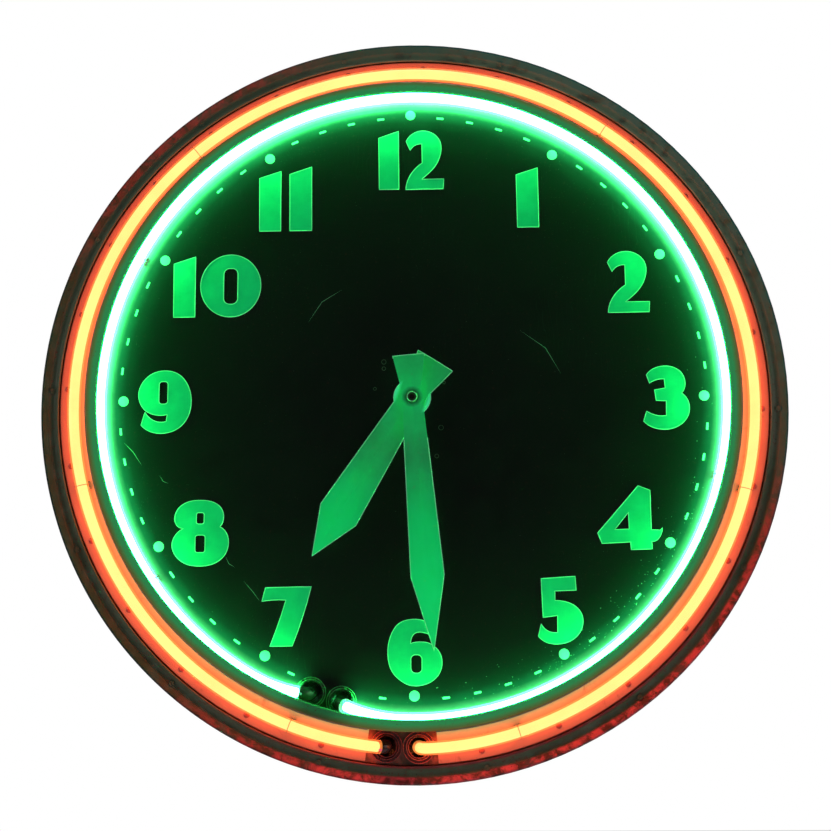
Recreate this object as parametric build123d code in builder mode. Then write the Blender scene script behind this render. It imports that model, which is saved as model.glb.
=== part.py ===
"""Service station advertising clock: a round steel case with a black dial, an orange gas tube in a trough
round the outside and a green gas tube round the dial, worked by an electric movement.

Frame: the wall is the plane Y = 0, +Z is up, +X is to the right and the dial faces -Y. The hands turn
about the Y axis. Heights h are distances in front of the wall. Turns are degrees clockwise from twelve.
"""

from build123d import *
import os
from math import acos, cos, degrees, pi, radians, sin, tan

# ---- driving dimensions, mm ----
RIM_RADIUS = 330.0  # the whole clock is 660 across
DIAL_HEIGHT = 150.0  # front face of the dial
SHEET = 1.2  # spun and rolled steel

CAN_RADIUS = 312.0
CAN_CORNER = 9.0
RECESS_RADIUS = 100.0
RECESS_DEPTH = 6.0
HATCH_RADIUS = 78.0
HATCH_SCREW_CIRCLE = 88.0
HATCH_SCREWS = 6
BEAD_RADIUS = 286.0
BEAD_DEPTH = 3.0
WALL_BOLT_X = 190.0  # half the spacing of the four wall bolts
WALL_BOLT_Z = 120.0
WALL_BOLT_HOLE = 4.5

PAN_TOP = DIAL_HEIGHT - 4.4  # floor of the trough
PAN_INNER = 246.0
TROUGH_RADIUS = 313.5
PAN_FLANGE = 327.0
GUTTER_DROP = 3.4
SKIRT_BACK = 116.0
GLAND_TURN = 150.0  # cord inlet, low on the right of the case
GLAND_HEIGHT = 48.0
GLAND_BORE = 4.2

WALL_RADIUS = 281.9  # outside of the raised ring between trough and dial
RING_TOP = DIAL_HEIGHT + 27.0
LIP_INNER = 272.5
LINER_SHEET = 0.8
LINER_OUTER = 312.9
LINER_GAP = (176.3, 187.8)  # the turns between which the trough is bare
LINER_TOP = PAN_TOP + LINER_SHEET
RIVET_COUNT = 28
RIVET_RADIUS = 306.6
RIVET_START = 2.2
SCREW_COUNT = 14
SCREW_CIRCLE = 321.6
SCREW_START = 14.8

DIAL_RADIUS = 279.0
DIAL_SHEET = 1.2
DIAL_SCREW_CIRCLE = 275.0  # hidden behind the inner tube
DIAL_SCREW_START = 10.0
DIAL_SCREWS = 8
PAINT = 0.15  # screened enamel of the numerals and marks
MARK_CIRCLE = 258.8
DOT_CIRCLE = 255.7
DOT_RADIUS = 4.45
TOP_DOT_CIRCLE = 261.0
MARK_LENGTH = 6.3
MARK_WIDTH = 1.9

OUTER_TUBE_CIRCLE = 298.5
OUTER_TUBE_HEIGHT = DIAL_HEIGHT + 4.2
OUTER_TUBE_RADIUS = 5.5
INNER_TUBE_CIRCLE = 274.0
INNER_TUBE_HEIGHT = DIAL_HEIGHT + 9.3
INNER_TUBE_RADIUS = 5.75
GLASS = 1.0
BEND = 9.0  # centre line of the bend at each end of a tube
LEG_END = 104.0  # height of the tubes' back ends
OUTER_ENDS = (184.66, 179.32)
INNER_ENDS = (199.28, 193.43)
VEER = 45.0  # length over which an inner tube end curves in
VEER_RADIUS = 130.0
OUTER_SUPPORTS = (35.7, 106.0, 162.8, 200.8, 255.5, 319.5)
INNER_SUPPORTS = (105.0, 235.0, 298.0)
TIE_WIRE = 0.3

CUP_BODY = 11.5
CUP_BORE = 9.3
CUP_SEAT = 10.6
CUP_BACK = 88.0
CUP_CIRCLES = (298.5, 267.0)
CUP_FLANGES = (13.6, 13.0)

HOUR_TURN = 212.4
MINUTE_TURN = 175.5
HOUR_HEIGHT = DIAL_HEIGHT + 6.0
MINUTE_HEIGHT = DIAL_HEIGHT + 9.6
HAND_SHEET = 0.9
CREASE = 1.3

ARBOR_RADIUS = 2.0
PIPE_RADIUS = 3.25
BUSHING_RADIUS = 5.0
RUNNING = 0.05  # radial clearance of a running fit
GEAR_CENTRES = 24.0
BACKLASH = 0.16
PRESSURE = radians(25)
FRONT_PLATE = 140.0
BACK_PLATE = 108.0
PLATE = 2.0

LEAD_RADIUS = 3.5
WIRE_RADIUS = 2.2

os.makedirs("parts", exist_ok=True)


# ---- helpers ----
def front(height, turn=0.0):
    """A plane that faces forward, with its Y axis towards the given turn."""
    a = radians(turn)
    return Plane(origin=(0, -height, 0), x_dir=(cos(a), 0, -sin(a)), z_dir=(0, -1, 0))


def around(radius, turn):
    """The point at a radius and a turn on an unturned front plane."""
    return (radius * sin(radians(turn)), radius * cos(radians(turn)))


def place(radius, turn, height):
    """The same point in space."""
    x, z = around(radius, turn)
    return Vector(x, -height, z)


def outward(radius, turn, height):
    """A plane that faces away from the axis."""
    return Plane(origin=place(radius, turn, height), z_dir=place(1, turn, 0))


def section(*points):
    """A half section given by radii and heights, ready to turn about the Y axis."""
    with BuildSketch(Plane.XY) as face:
        with BuildLine():
            Polyline(*[(radius, -height) for radius, height in points], close=True)
        make_face()
    return face.sketch


def half_section(start, *runs):
    """As section, with a run of one point for a line and of two points for an arc."""
    with BuildSketch(Plane.XY) as face:
        with BuildLine():
            at = start
            closing = () if runs[-1][-1] == start else ([start],)
            for run in (*runs, *closing):
                points = [(radius, -height) for radius, height in (at, *run)]
                if len(run) == 1:
                    Line(*points)
                else:
                    ThreePointArc(*points)
                at = run[-1]
        make_face()
    return face.sketch


def outline(start, *runs):
    """A closed face: a run of one point is a line, and a longer run a smooth curve through its points."""
    with BuildSketch(Plane.XY) as face:
        with BuildLine():
            at = start
            for run in runs:
                if len(run) == 1:
                    Line(at, run[0])
                else:
                    Spline(at, *run)
                at = run[-1]
            if at != start:
                Line(at, start)
        make_face()
    return face.sketch


def gear_face(teeth, module, tooth_at):
    """A stub tooth spur gear with one tooth centred at tooth_at degrees."""
    pitch = teeth * module / 2
    base = pitch * cos(PRESSURE)
    root = pitch - 1.05 * module
    tip = pitch + 0.8 * module
    half_pitch = (pi * module - BACKLASH) / 4 / pitch + tan(PRESSURE) - PRESSURE

    def half_width(radius):
        angle = acos(min(1.0, base / radius))
        return half_pitch - (tan(angle) - angle)

    foot = max(root, base)
    flank = [foot + (tip - foot) * step / 4 for step in range(5)]
    if root < base:
        flank.insert(0, root)
    points = []
    for tooth in range(teeth):
        middle = radians(tooth_at) + 2 * pi * tooth / teeth
        sides = [(r, middle - half_width(r)) for r in flank]
        sides += [(r, middle + half_width(r)) for r in reversed(flank)]
        points += [(r * cos(a), r * sin(a)) for r, a in sides]
    with BuildSketch(Plane.XY) as face:
        with BuildLine():
            Polyline(*points, close=True)
        make_face()
    return face.sketch


def at(x, height, z):
    """A point in space from its place on the wall and its height."""
    return Vector(x, -height, z)


def cable(points, radius):
    """A round cable along straight runs joined by the largest even arcs that the runs allow."""
    radii = []
    for before, here, after in zip(points, points[1:], points[2:]):
        turn = (here - before).get_angle(after - here)
        radii.append(0.45 * min((here - before).length, (after - here).length) / tan(radians(turn / 2)))
    with BuildLine() as route:
        FilletPolyline(*points, radius=radii)
    path = route.wires()[0]
    with BuildPart() as body:
        with BuildSketch(Plane(origin=path @ 0, z_dir=path % 0)):
            Circle(radius)
        sweep(path=path)
    return body.part


def tube_path(circle, height, ends, veer=0.0, bend_radius=BEND):
    """The centre line of a gas tube: back leg, bend, the long way round, bend, back leg."""
    back = Vector(0, 1, 0)
    with BuildLine() as line:
        bends = []
        for side, end in ((1, ends[0]), (-1, ends[1])):
            leave = end + side * degrees((bend_radius + veer) / circle)
            start = place(circle, leave, height)
            outward = place(1.0, leave, 0.0)
            along = place(1.0, leave - side * 90, 0.0)
            if veer:
                angle = veer / VEER_RADIUS
                hub = start - outward * VEER_RADIUS
                middle = hub + outward * VEER_RADIUS * cos(angle / 2) + along * VEER_RADIUS * sin(angle / 2)
                stop = hub + outward * VEER_RADIUS * cos(angle) + along * VEER_RADIUS * sin(angle)
                ThreePointArc(start, middle, stop)
                along = along * cos(angle) - outward * sin(angle)
            else:
                stop = start
            knee = stop + along * bend_radius + back * bend_radius
            corner = stop + along * bend_radius * sin(pi / 4) + back * bend_radius * (1 - cos(pi / 4))
            ThreePointArc(stop, corner, knee)
            Line(knee, Vector(knee.X, -LEG_END, knee.Z))
            bends.append((leave, start, knee))
        top = place(circle, (bends[0][0] + bends[1][0] + 360) / 2 % 360, height)
        ThreePointArc(bends[0][1], top, bends[1][1])
    return line.wires()[0], [bends[0][2], bends[1][2]]


# ---- case ----
BACK_EDGE = CAN_RADIUS - CAN_CORNER
ARC = sin(pi / 4)
with BuildPart() as case_can:
    inner_corner = CAN_CORNER - SHEET
    revolve(
        half_section(
            (HATCH_RADIUS, RECESS_DEPTH),
            [(RECESS_RADIUS, RECESS_DEPTH)],
            [(RECESS_RADIUS, 0)],
            [(BEAD_RADIUS - 5, 0)],
            [(BEAD_RADIUS, BEAD_DEPTH), (BEAD_RADIUS + 5, 0)],
            [(BACK_EDGE, 0)],
            [(BACK_EDGE + CAN_CORNER * ARC, CAN_CORNER * (1 - ARC)), (CAN_RADIUS, CAN_CORNER)],
            [(CAN_RADIUS, PAN_TOP - SHEET)],
            [(CAN_RADIUS - SHEET, PAN_TOP - SHEET)],
            [(CAN_RADIUS - SHEET, CAN_CORNER)],
            [(BACK_EDGE + inner_corner * ARC, CAN_CORNER - inner_corner * ARC), (BACK_EDGE, SHEET)],
            [(BEAD_RADIUS + 6, SHEET)],
            [(BEAD_RADIUS, BEAD_DEPTH + SHEET), (BEAD_RADIUS - 6, SHEET)],
            [(RECESS_RADIUS + SHEET, SHEET)],
            [(RECESS_RADIUS + SHEET, RECESS_DEPTH + SHEET)],
            [(HATCH_RADIUS, RECESS_DEPTH + SHEET)],
        ),
        axis=Axis.Y,
    )
    # wall bolt holes
    with BuildSketch(front(-1)):
        with GridLocations(2 * WALL_BOLT_X, 2 * WALL_BOLT_Z, 2, 2):
            Circle(WALL_BOLT_HOLE)
    extrude(amount=5, mode=Mode.SUBTRACT)
    # hatch screw holes
    with BuildSketch(front(RECESS_DEPTH - 1)):
        with PolarLocations(HATCH_SCREW_CIRCLE, HATCH_SCREWS):
            Circle(1.7)
    extrude(amount=4, mode=Mode.SUBTRACT)
    # cooling slots, above and below the hatch
    with BuildSketch(front(-1)):
        for level in (-252, 180, 252):
            with Locations((0, level)):
                with GridLocations(26, 0, 5, 1):
                    SlotOverall(22, 5, rotation=90)
    extrude(amount=5, mode=Mode.SUBTRACT)
    # cord inlet
    with BuildSketch(outward(CAN_RADIUS - 6, GLAND_TURN, GLAND_HEIGHT)):
        Circle(10)
    extrude(amount=10, mode=Mode.SUBTRACT)
case_can.part.label = "case_can"
export_step(case_can.part, "parts/case_can.step")

with BuildPart() as rear_hatch:
    with BuildSketch(front(RECESS_DEPTH - SHEET)):
        Circle(97)
        with PolarLocations(HATCH_SCREW_CIRCLE, HATCH_SCREWS):
            Circle(1.7, mode=Mode.SUBTRACT)
        with Locations((0, 40), (0, -40)):
            with GridLocations(0, 9, 1, 3):
                SlotOverall(44, 4, mode=Mode.SUBTRACT)
    extrude(amount=SHEET)
rear_hatch.part.label = "rear_hatch"
export_step(rear_hatch.part, "parts/rear_hatch.step")

with BuildPart() as hatch_screws:
    for spot in PolarLocations(HATCH_SCREW_CIRCLE, HATCH_SCREWS).local_locations:
        x, z = spot.position.X, spot.position.Y
        with BuildSketch(front(RECESS_DEPTH - SHEET - 2.2)):
            with Locations((x, z)):
                Circle(3.4)
                Rectangle(7, 0.9, mode=Mode.SUBTRACT)
        extrude(amount=1.2)
        with BuildSketch(front(RECESS_DEPTH - SHEET - 1.0)):
            with Locations((x, z)):
                Circle(3.4)
        extrude(amount=1.0)
        with BuildSketch(front(RECESS_DEPTH - SHEET)):
            with Locations((x, z)):
                Circle(1.65)
        extrude(amount=6)
hatch_screws.part.label = "hatch_screws"
export_step(hatch_screws.part, "parts/hatch_screws.step")

with BuildPart() as bolt_doublers:
    with BuildSketch(front(SHEET)):
        with GridLocations(2 * WALL_BOLT_X, 2 * WALL_BOLT_Z, 2, 2):
            RectangleRounded(44, 44, 6)
            Circle(WALL_BOLT_HOLE, mode=Mode.SUBTRACT)
    extrude(amount=3)
bolt_doublers.part.label = "bolt_doublers"
export_step(bolt_doublers.part, "parts/bolt_doublers.step")

# ---- front pan, rim and trough ----
FLANGE_TOP = PAN_TOP - GUTTER_DROP
with BuildPart() as front_pan:
    revolve(
        section(
            (PAN_INNER, PAN_TOP),
            (TROUGH_RADIUS, PAN_TOP),
            (TROUGH_RADIUS, FLANGE_TOP),
            (PAN_FLANGE, FLANGE_TOP),
            (PAN_FLANGE, FLANGE_TOP - SHEET),
            (TROUGH_RADIUS - SHEET, FLANGE_TOP - SHEET),
            (TROUGH_RADIUS - SHEET, PAN_TOP - SHEET),
            (PAN_INNER, PAN_TOP - SHEET),
        ),
        axis=Axis.Y,
    )
    with BuildSketch(front(PAN_TOP - 7)):
        for circle, ends in zip(CUP_CIRCLES, (OUTER_ENDS, INNER_ENDS)):
            with Locations(*[around(circle, end) for end in ends]):
                Circle(CUP_BODY + 0.3)
        with PolarLocations(SCREW_CIRCLE, SCREW_COUNT, start_angle=90 - SCREW_START):
            Circle(1.5)
    extrude(amount=8, mode=Mode.SUBTRACT)
front_pan.part.label = "front_pan"
export_step(front_pan.part, "parts/front_pan.step")

# the rim's gutter rests on the pan's flange and its skirt turns back behind it
CREST = (315.6, PAN_TOP + 1.6)
SLOPE_FOOT = (323.5, FLANGE_TOP + 1.7)
BROW = (328.2, FLANGE_TOP + 5.4)
with BuildPart() as rim_ring:
    revolve(
        half_section(
            CREST,
            [(318.1, FLANGE_TOP + 2.3), (SCREW_CIRCLE, FLANGE_TOP + SHEET)],
            [(322.6, FLANGE_TOP + 1.35), SLOPE_FOOT],
            [BROW],
            [(RIM_RADIUS - 0.5, FLANGE_TOP + 5.35), (RIM_RADIUS, FLANGE_TOP + 4.3)],
            [(RIM_RADIUS, SKIRT_BACK)],
            [(RIM_RADIUS - SHEET, SKIRT_BACK)],
            [(RIM_RADIUS - SHEET, FLANGE_TOP + 4.3)],
            [(324.2, FLANGE_TOP + 0.8)],
            [(SCREW_CIRCLE, FLANGE_TOP + 0.1)],
            [(317.4, FLANGE_TOP + 1.4), (TROUGH_RADIUS + 0.9, PAN_TOP + 1.0)],
            [(TROUGH_RADIUS + 0.7, PAN_TOP + 1.9)],
            [(TROUGH_RADIUS + 1.1, PAN_TOP + 2.3), CREST],
        ),
        axis=Axis.Y,
    )
    with BuildSketch(front(FLANGE_TOP - 2)):
        with PolarLocations(SCREW_CIRCLE, SCREW_COUNT, start_angle=90 - SCREW_START):
            Circle(1.5)
    extrude(amount=8, mode=Mode.SUBTRACT)
rim_ring.part.label = "rim_ring"
export_step(rim_ring.part, "parts/rim_ring.step")

with BuildPart() as rim_screws:
    for number in range(SCREW_COUNT):
        x, z = around(SCREW_CIRCLE, SCREW_START + number * 360 / SCREW_COUNT)
        with BuildSketch(front(FLANGE_TOP - 6)):
            with Locations((x, z)):
                Circle(1.45)
        extrude(amount=6 + SHEET + 1.0)
        with BuildSketch(front(FLANGE_TOP + SHEET + 1.0)):
            with Locations((x, z)):
                Circle(2.4)
        extrude(amount=0.6)
        with BuildSketch(front(FLANGE_TOP + SHEET + 1.6)):
            with Locations((x, z)):
                Circle(2.1)
                Rectangle(5, 0.6, rotation=37 * number, mode=Mode.SUBTRACT)
        extrude(amount=0.7)
rim_screws.part.label = "rim_screws"
export_step(rim_screws.part, "parts/rim_screws.step")

# an L section bent round from one side of the bare gap to the other
with BuildPart() as trough_liner:
    wall_face = WALL_RADIUS + 0.2
    revolve(
        section(
            (wall_face, PAN_TOP),
            (LINER_OUTER, PAN_TOP),
            (LINER_OUTER, LINER_TOP),
            (wall_face + LINER_SHEET, LINER_TOP),
            (wall_face + LINER_SHEET, RING_TOP - 3),
            (wall_face, RING_TOP - 3),
        ),
        axis=Axis.Y,
    )
    with BuildSketch(front(PAN_TOP - 1)):
        with BuildLine():
            Polyline(
                (0, 0),
                around(400, LINER_GAP[0]),
                around(400, LINER_GAP[1]),
                close=True,
            )
        make_face()
    extrude(amount=40, mode=Mode.SUBTRACT)
    with BuildSketch(front(PAN_TOP - 1)):
        with PolarLocations(RIVET_RADIUS, RIVET_COUNT, start_angle=90 - RIVET_START):
            Circle(1.2)
    extrude(amount=4, mode=Mode.SUBTRACT)
trough_liner.part.label = "trough_liner"
export_step(trough_liner.part, "parts/trough_liner.step")

# the rivet that would fall in the bare gap is left out
with BuildPart() as liner_rivets:
    for number in range(RIVET_COUNT):
        turn = RIVET_START + number * 360 / RIVET_COUNT
        if LINER_GAP[0] < turn < LINER_GAP[1]:
            continue
        x, z = around(RIVET_RADIUS, turn)
        with BuildSketch(front(PAN_TOP)):
            with Locations((x, z)):
                Circle(1.15)
        extrude(amount=LINER_SHEET + 0.2)
        with Locations(Location((x, -LINER_TOP, z), (90, 0, 0))):
            Cylinder(2.6, 0.5, align=(Align.CENTER, Align.CENTER, Align.MIN))
            with Locations((0, 0, 0.5)):
                Cone(2.6, 1.2, 0.9, align=(Align.CENTER, Align.CENTER, Align.MIN))
liner_rivets.part.label = "liner_rivets"
export_step(liner_rivets.part, "parts/liner_rivets.step")

# ---- raised ring and dial ----
SEAT_TOP = DIAL_HEIGHT - DIAL_SHEET
with BuildPart() as drum_ring:
    wall_inner = WALL_RADIUS - SHEET
    revolve(
        half_section(
            (WALL_RADIUS, PAN_TOP),
            [(WALL_RADIUS, RING_TOP - 2)],
            [(WALL_RADIUS - 0.6, RING_TOP - 0.6), (WALL_RADIUS - 2, RING_TOP)],
            [(LIP_INNER + 1, RING_TOP)],
            [(LIP_INNER + 0.3, RING_TOP - 0.3), (LIP_INNER, RING_TOP - 1)],
            [(LIP_INNER, RING_TOP - 4)],
            [(LIP_INNER + 0.9, RING_TOP - 4)],
            [(LIP_INNER + 0.9, RING_TOP - SHEET)],
            [(wall_inner, RING_TOP - SHEET)],
            [(wall_inner, PAN_TOP)],
        ),
        axis=Axis.Y,
    )
drum_ring.part.label = "drum_ring"
export_step(drum_ring.part, "parts/drum_ring.step")

with BuildPart() as dial_seat:
    seat_outer = WALL_RADIUS - SHEET
    revolve(
        section(
            (seat_outer, PAN_TOP),
            (seat_outer, SEAT_TOP),
            (261, SEAT_TOP),
            (261, SEAT_TOP - SHEET),
            (seat_outer - SHEET, SEAT_TOP - SHEET),
            (seat_outer - SHEET, PAN_TOP),
        ),
        axis=Axis.Y,
    )
    with BuildSketch(front(SEAT_TOP - 6)):
        with Locations(*[around(CUP_CIRCLES[1], end) for end in INNER_ENDS]):
            Circle(CUP_BODY + 0.3)
        with PolarLocations(DIAL_SCREW_CIRCLE, DIAL_SCREWS, start_angle=DIAL_SCREW_START):
            Circle(1.5)
    extrude(amount=8, mode=Mode.SUBTRACT)
dial_seat.part.label = "dial_seat"
export_step(dial_seat.part, "parts/dial_seat.step")

with BuildPart() as dial_plate:
    with BuildSketch(front(SEAT_TOP)):
        Circle(DIAL_RADIUS)
        Circle(BUSHING_RADIUS + 0.1, mode=Mode.SUBTRACT)
        with Locations(*[around(CUP_CIRCLES[1], end) for end in INNER_ENDS]):
            Circle(CUP_BODY + 0.3, mode=Mode.SUBTRACT)
        with PolarLocations(DIAL_SCREW_CIRCLE, DIAL_SCREWS, start_angle=DIAL_SCREW_START):
            Circle(1.5, mode=Mode.SUBTRACT)
    extrude(amount=DIAL_SHEET)
dial_plate.part.label = "dial_plate"
export_step(dial_plate.part, "parts/dial_plate.step")

with BuildPart() as dial_screws:
    for spot in PolarLocations(DIAL_SCREW_CIRCLE, DIAL_SCREWS, start_angle=DIAL_SCREW_START).local_locations:
        x, z = spot.position.X, spot.position.Y
        with BuildSketch(front(SEAT_TOP - 2.8)):
            with Locations((x, z)):
                Circle(1.45)
        extrude(amount=2.8 + DIAL_SHEET)
        with BuildSketch(front(DIAL_HEIGHT)):
            with Locations((x, z)):
                Circle(2.2)
        extrude(amount=0.7, taper=25)
dial_screws.part.label = "dial_screws"
export_step(dial_screws.part, "parts/dial_screws.step")

# ---- numerals, drawn with the lower left corner at the origin ----
one = outline((0, 0), [(19.2, 0)], [(19.0, 55.2)], [(-0.4, 48.9)])
two = outline(
    (0, 0),
    [(35.5, 0.3)],
    [(36.2, 9.7)],
    [(15.3, 9.6)],
    [(20.5, 14.0), (27.0, 20.5), (33.4, 33.5), (32.6, 46.0), (26.5, 52.8), (17.0, 55.6)]
    + [(7.5, 53.2), (0.6, 45.7)],
    [(4.4, 37.2)],
    [(9.0, 42.0), (15.6, 43.3)],
    [(15.7, 25.0)],
    [(9.0, 19.6), (3.6, 12.4), (0, 0)],
)
three = outline(
    (3.8, 48.4),
    [(6.2, 40.9)],
    [(12.0, 43.9), (19.3, 44.6)],
    [(19.8, 36.6)],
    [(10.4, 34.9)],
    [(11.6, 25.6)],
    [(20.4, 25.1)],
    [(20.0, 12.2)],
    [(12.0, 12.3), (2.9, 16.2)],
    [(0, 7.4)],
    [(7.5, 2.0), (17.0, 0), (29.0, 2.4), (38.0, 10.5), (40.4, 20.5), (38.2, 27.5), (33.9, 31.9)],
    [(37.2, 42.0), (33.5, 51.0), (26.5, 55.2), (17.5, 56.0), (9.8, 53.8), (3.8, 48.4)],
)
four = outline(
    (36.0, 55.1),
    [(46.3, 51.1)],
    [(46.3, 17.0)],
    [(54.0, 16.6)],
    [(56.0, 18.6)],
    [(54.0, 12.0), (50.6, 8.0), (46.3, 7.0)],
    [(46.6, 0.6)],
    [(28.4, 0)],
    [(28.2, 6.6)],
    [(3.6, 5.5)],
    [(0, 14.6)],
)
five = outline(
    (3.4, 55.3),
    [(32.6, 57.0)],
    [(33.2, 45.2)],
    [(15.0, 44.6)],
    [(15.0, 36.6)],
    [(22.0, 36.0), (31.0, 32.5), (37.0, 26.0), (38.4, 18.5), (36.0, 10.5), (29.0, 3.4), (18.0, 0)]
    + [(7.5, 1.2), (0, 6.5)],
    [(2.6, 17.0)],
    [(7.5, 11.4), (16.6, 9.6)],
    [(16.8, 23.9)],
    [(4.4, 22.3)],
)
seven = outline(
    (3.0, 49.8),
    [(42.6, 50.4)],
    [(35.0, 23.5), (26.6, 0.2)],
    [(7.4, 0)],
    [(13.0, 15.0), (20.8, 39.0)],
    [(10.0, 39.2), (0, 38.0)],
)
eight = outline(
    (9.6, 32.4),
    [(3.0, 36.8), (2.1, 42.8), (5.5, 50.5), (14.0, 55.8), (24.0, 57.0), (34.0, 55.8), (42.2, 50.5)]
    + [(44.8, 42.8), (41.6, 33.8)],
    [(47.6, 28.0), (49.3, 18.8), (45.5, 8.5), (36.0, 1.8), (24.6, 0), (13.0, 1.8), (3.8, 8.5)]
    + [(0, 18.8), (3.0, 27.0), (9.6, 32.4)],
)
nine = outline(
    (7.0, 19.7),
    [(1.6, 27.0), (0, 34.4), (3.5, 45.5), (12.5, 53.5), (23.5, 55.8), (35.0, 52.8), (43.5, 43.0)]
    + [(47.0, 29.5), (45.6, 18.0), (38.6, 6.5), (23.5, 0), (11.0, 1.6), (2.8, 7.4)],
    [(6.0, 19.0)],
    [(10.0, 14.0), (17.5, 10.2), (25.0, 10.6)],
    [(25.8, 16.6)],
    [(16.0, 16.2), (7.0, 19.7)],
)
six = outline(
    (19.7, 35.4),
    [(22.7, 36.3), (29.0, 36.7), (34.3, 36.0), (39.6, 33.1), (43.8, 28.7), (46.4, 20.5), (45.4, 13.4)]
    + [(41.7, 7.2), (35.4, 2.6), (29.0, 0.5), (23.8, 0), (17.4, 1.0), (10.0, 5.2), (4.8, 10.3), (1.1, 18.6)]
    + [(0, 27.4), (1.1, 37.2), (4.2, 45.5), (9.5, 52.2), (17.4, 55.3), (23.8, 55.8), (34.3, 53.7)]
    + [(40.1, 50.8)],
    [(37.3, 42.1)],
    [(33.3, 43.9), (29.0, 44.9), (25.3, 44.7), (22.2, 42.9), (20.4, 39.8), (19.7, 35.4)],
)
with BuildSketch(Plane.XY) as zero:
    with Locations((27.1, 28.5)):
        Ellipse(27.1, 28.5)
    with Locations((27.2, 28.1)):
        RectangleRounded(12.6, 32.6, 5.2, mode=Mode.SUBTRACT)
with BuildSketch(Plane.XY) as counters_of_eight:
    with Locations((24.3, 41.3)):
        RectangleRounded(6.8, 9.8, 2.0)
    with Locations((24.5, 19.2)):
        RectangleRounded(8.6, 15.0, 2.2)
with BuildSketch(Plane.XY) as counter_of_nine:
    with Locations((22.1, 36.1)):
        RectangleRounded(7.8, 20.0, 2.8)
with BuildSketch(Plane.XY) as counter_of_six:
    with Locations((24.5, 18.2)):
        RectangleRounded(9.5, 15.4, 4.0)
with BuildSketch(Plane.XY) as counter_of_four:
    with BuildLine():
        Polyline((14.8, 17.4), (27.2, 17.8), (27.0, 32.0), close=True)
    make_face()

# each numeral stands on the dial by its lower left corner
NUMERALS = [
    (one, (), -28.6, 191.2, 0.93, 0.99),
    (two, (), -4.6, 190.8, 0.95, 0.99),
    (one, (), 95.4, 154.4, 1.0, 1.0),
    (two, (), 174.2, 75.2, 1.02, 1.0),
    (three, (), 202.1, -29.5, 1.0, 1.0),
    (four, (counter_of_four,), 159.2, -133.6, 1.0, 1.0),
    (five, (), 106.2, -212.9, 1.0, 1.0),
    (six, (counter_of_six,), -22.6, -247.2, 1.0, 1.0),
    (seven, (), -131.0, -213.5, 1.0, 1.0),
    (eight, (counters_of_eight,), -209.9, -144.9, 1.0, 1.0),
    (nine, (counter_of_nine,), -242.4, -28.7, 1.0, 1.0),
    (one, (), -212.9, 75.5, 1.0, 1.0),
    (zero.sketch, (), -189.1, 75.2, 1.0, 1.0),
    (one, (), -136.7, 153.8, 1.0, 1.01),
    (one, (), -109.3, 153.8, 1.03, 1.08),
]

with BuildPart() as dial_numerals:
    with BuildSketch(front(DIAL_HEIGHT)):
        for shape, holes, x, z, width, height in NUMERALS:
            with Locations((x, z)):
                add(scale(shape, by=(width, height, 1), mode=Mode.PRIVATE))
            for hole in holes:
                with Locations((x, z)):
                    add(hole.sketch, mode=Mode.SUBTRACT)
    extrude(amount=PAINT)
dial_numerals.part.label = "dial_numerals"
export_step(dial_numerals.part, "parts/dial_numerals.step")

with BuildPart() as minute_marks:
    with BuildSketch(front(DIAL_HEIGHT)):
        for minute in range(60):
            under_cup = any(abs(minute * 6 - end) < 3 for end in INNER_ENDS)
            if minute % 5 and not under_cup:
                with Locations(Location((*around(MARK_CIRCLE, minute * 6), 0), (0, 0, -minute * 6))):
                    RectangleRounded(MARK_LENGTH, MARK_WIDTH, 0.7)
    extrude(amount=PAINT)
minute_marks.part.label = "minute_marks"
export_step(minute_marks.part, "parts/minute_marks.step")

with BuildPart() as hour_dots:
    with BuildSketch(front(DIAL_HEIGHT)):
        for hour in range(12):
            with Locations(around(DOT_CIRCLE if hour else TOP_DOT_CIRCLE, hour * 30)):
                Circle(DOT_RADIUS)
    extrude(amount=PAINT)
hour_dots.part.label = "hour_dots"
export_step(hour_dots.part, "parts/hour_dots.step")


# ---- gas tubes, their ends and supports ----
def hollow_tube(path, radius):
    with BuildPart() as tube:
        with BuildSketch(Plane(origin=path @ 0, z_dir=path % 0)):
            Circle(radius)
            Circle(radius - GLASS, mode=Mode.SUBTRACT)
        sweep(path=path)
    return tube.part


outer_path, outer_legs = tube_path(OUTER_TUBE_CIRCLE, OUTER_TUBE_HEIGHT, OUTER_ENDS)
with BuildPart() as outer_tube:
    add(hollow_tube(outer_path, OUTER_TUBE_RADIUS))
outer_tube.part.label = "outer_tube"
export_step(outer_tube.part, "parts/outer_tube.step")

inner_path, inner_legs = tube_path(INNER_TUBE_CIRCLE, INNER_TUBE_HEIGHT, INNER_ENDS, VEER)
with BuildPart() as inner_tube:
    add(hollow_tube(inner_path, INNER_TUBE_RADIUS))
inner_tube.part.label = "inner_tube"
export_step(inner_tube.part, "parts/inner_tube.step")


def electrodes(legs):
    """A sealed end with its pin and a metal shell, in each back leg."""
    with BuildPart() as pair:
        for leg in legs:
            for start, length, radius in ((-9, 9, 0.7), (0, 3, 4.45), (3, 34, 3.6)):
                with BuildSketch(front(LEG_END + start)):
                    with Locations((leg.X, leg.Z)):
                        Circle(radius)
                extrude(amount=length)
    return pair.part


with BuildPart() as tube_electrodes:
    add(electrodes(outer_legs + inner_legs))
tube_electrodes.part.label = "tube_electrodes"
export_step(tube_electrodes.part, "parts/tube_electrodes.step")

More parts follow.
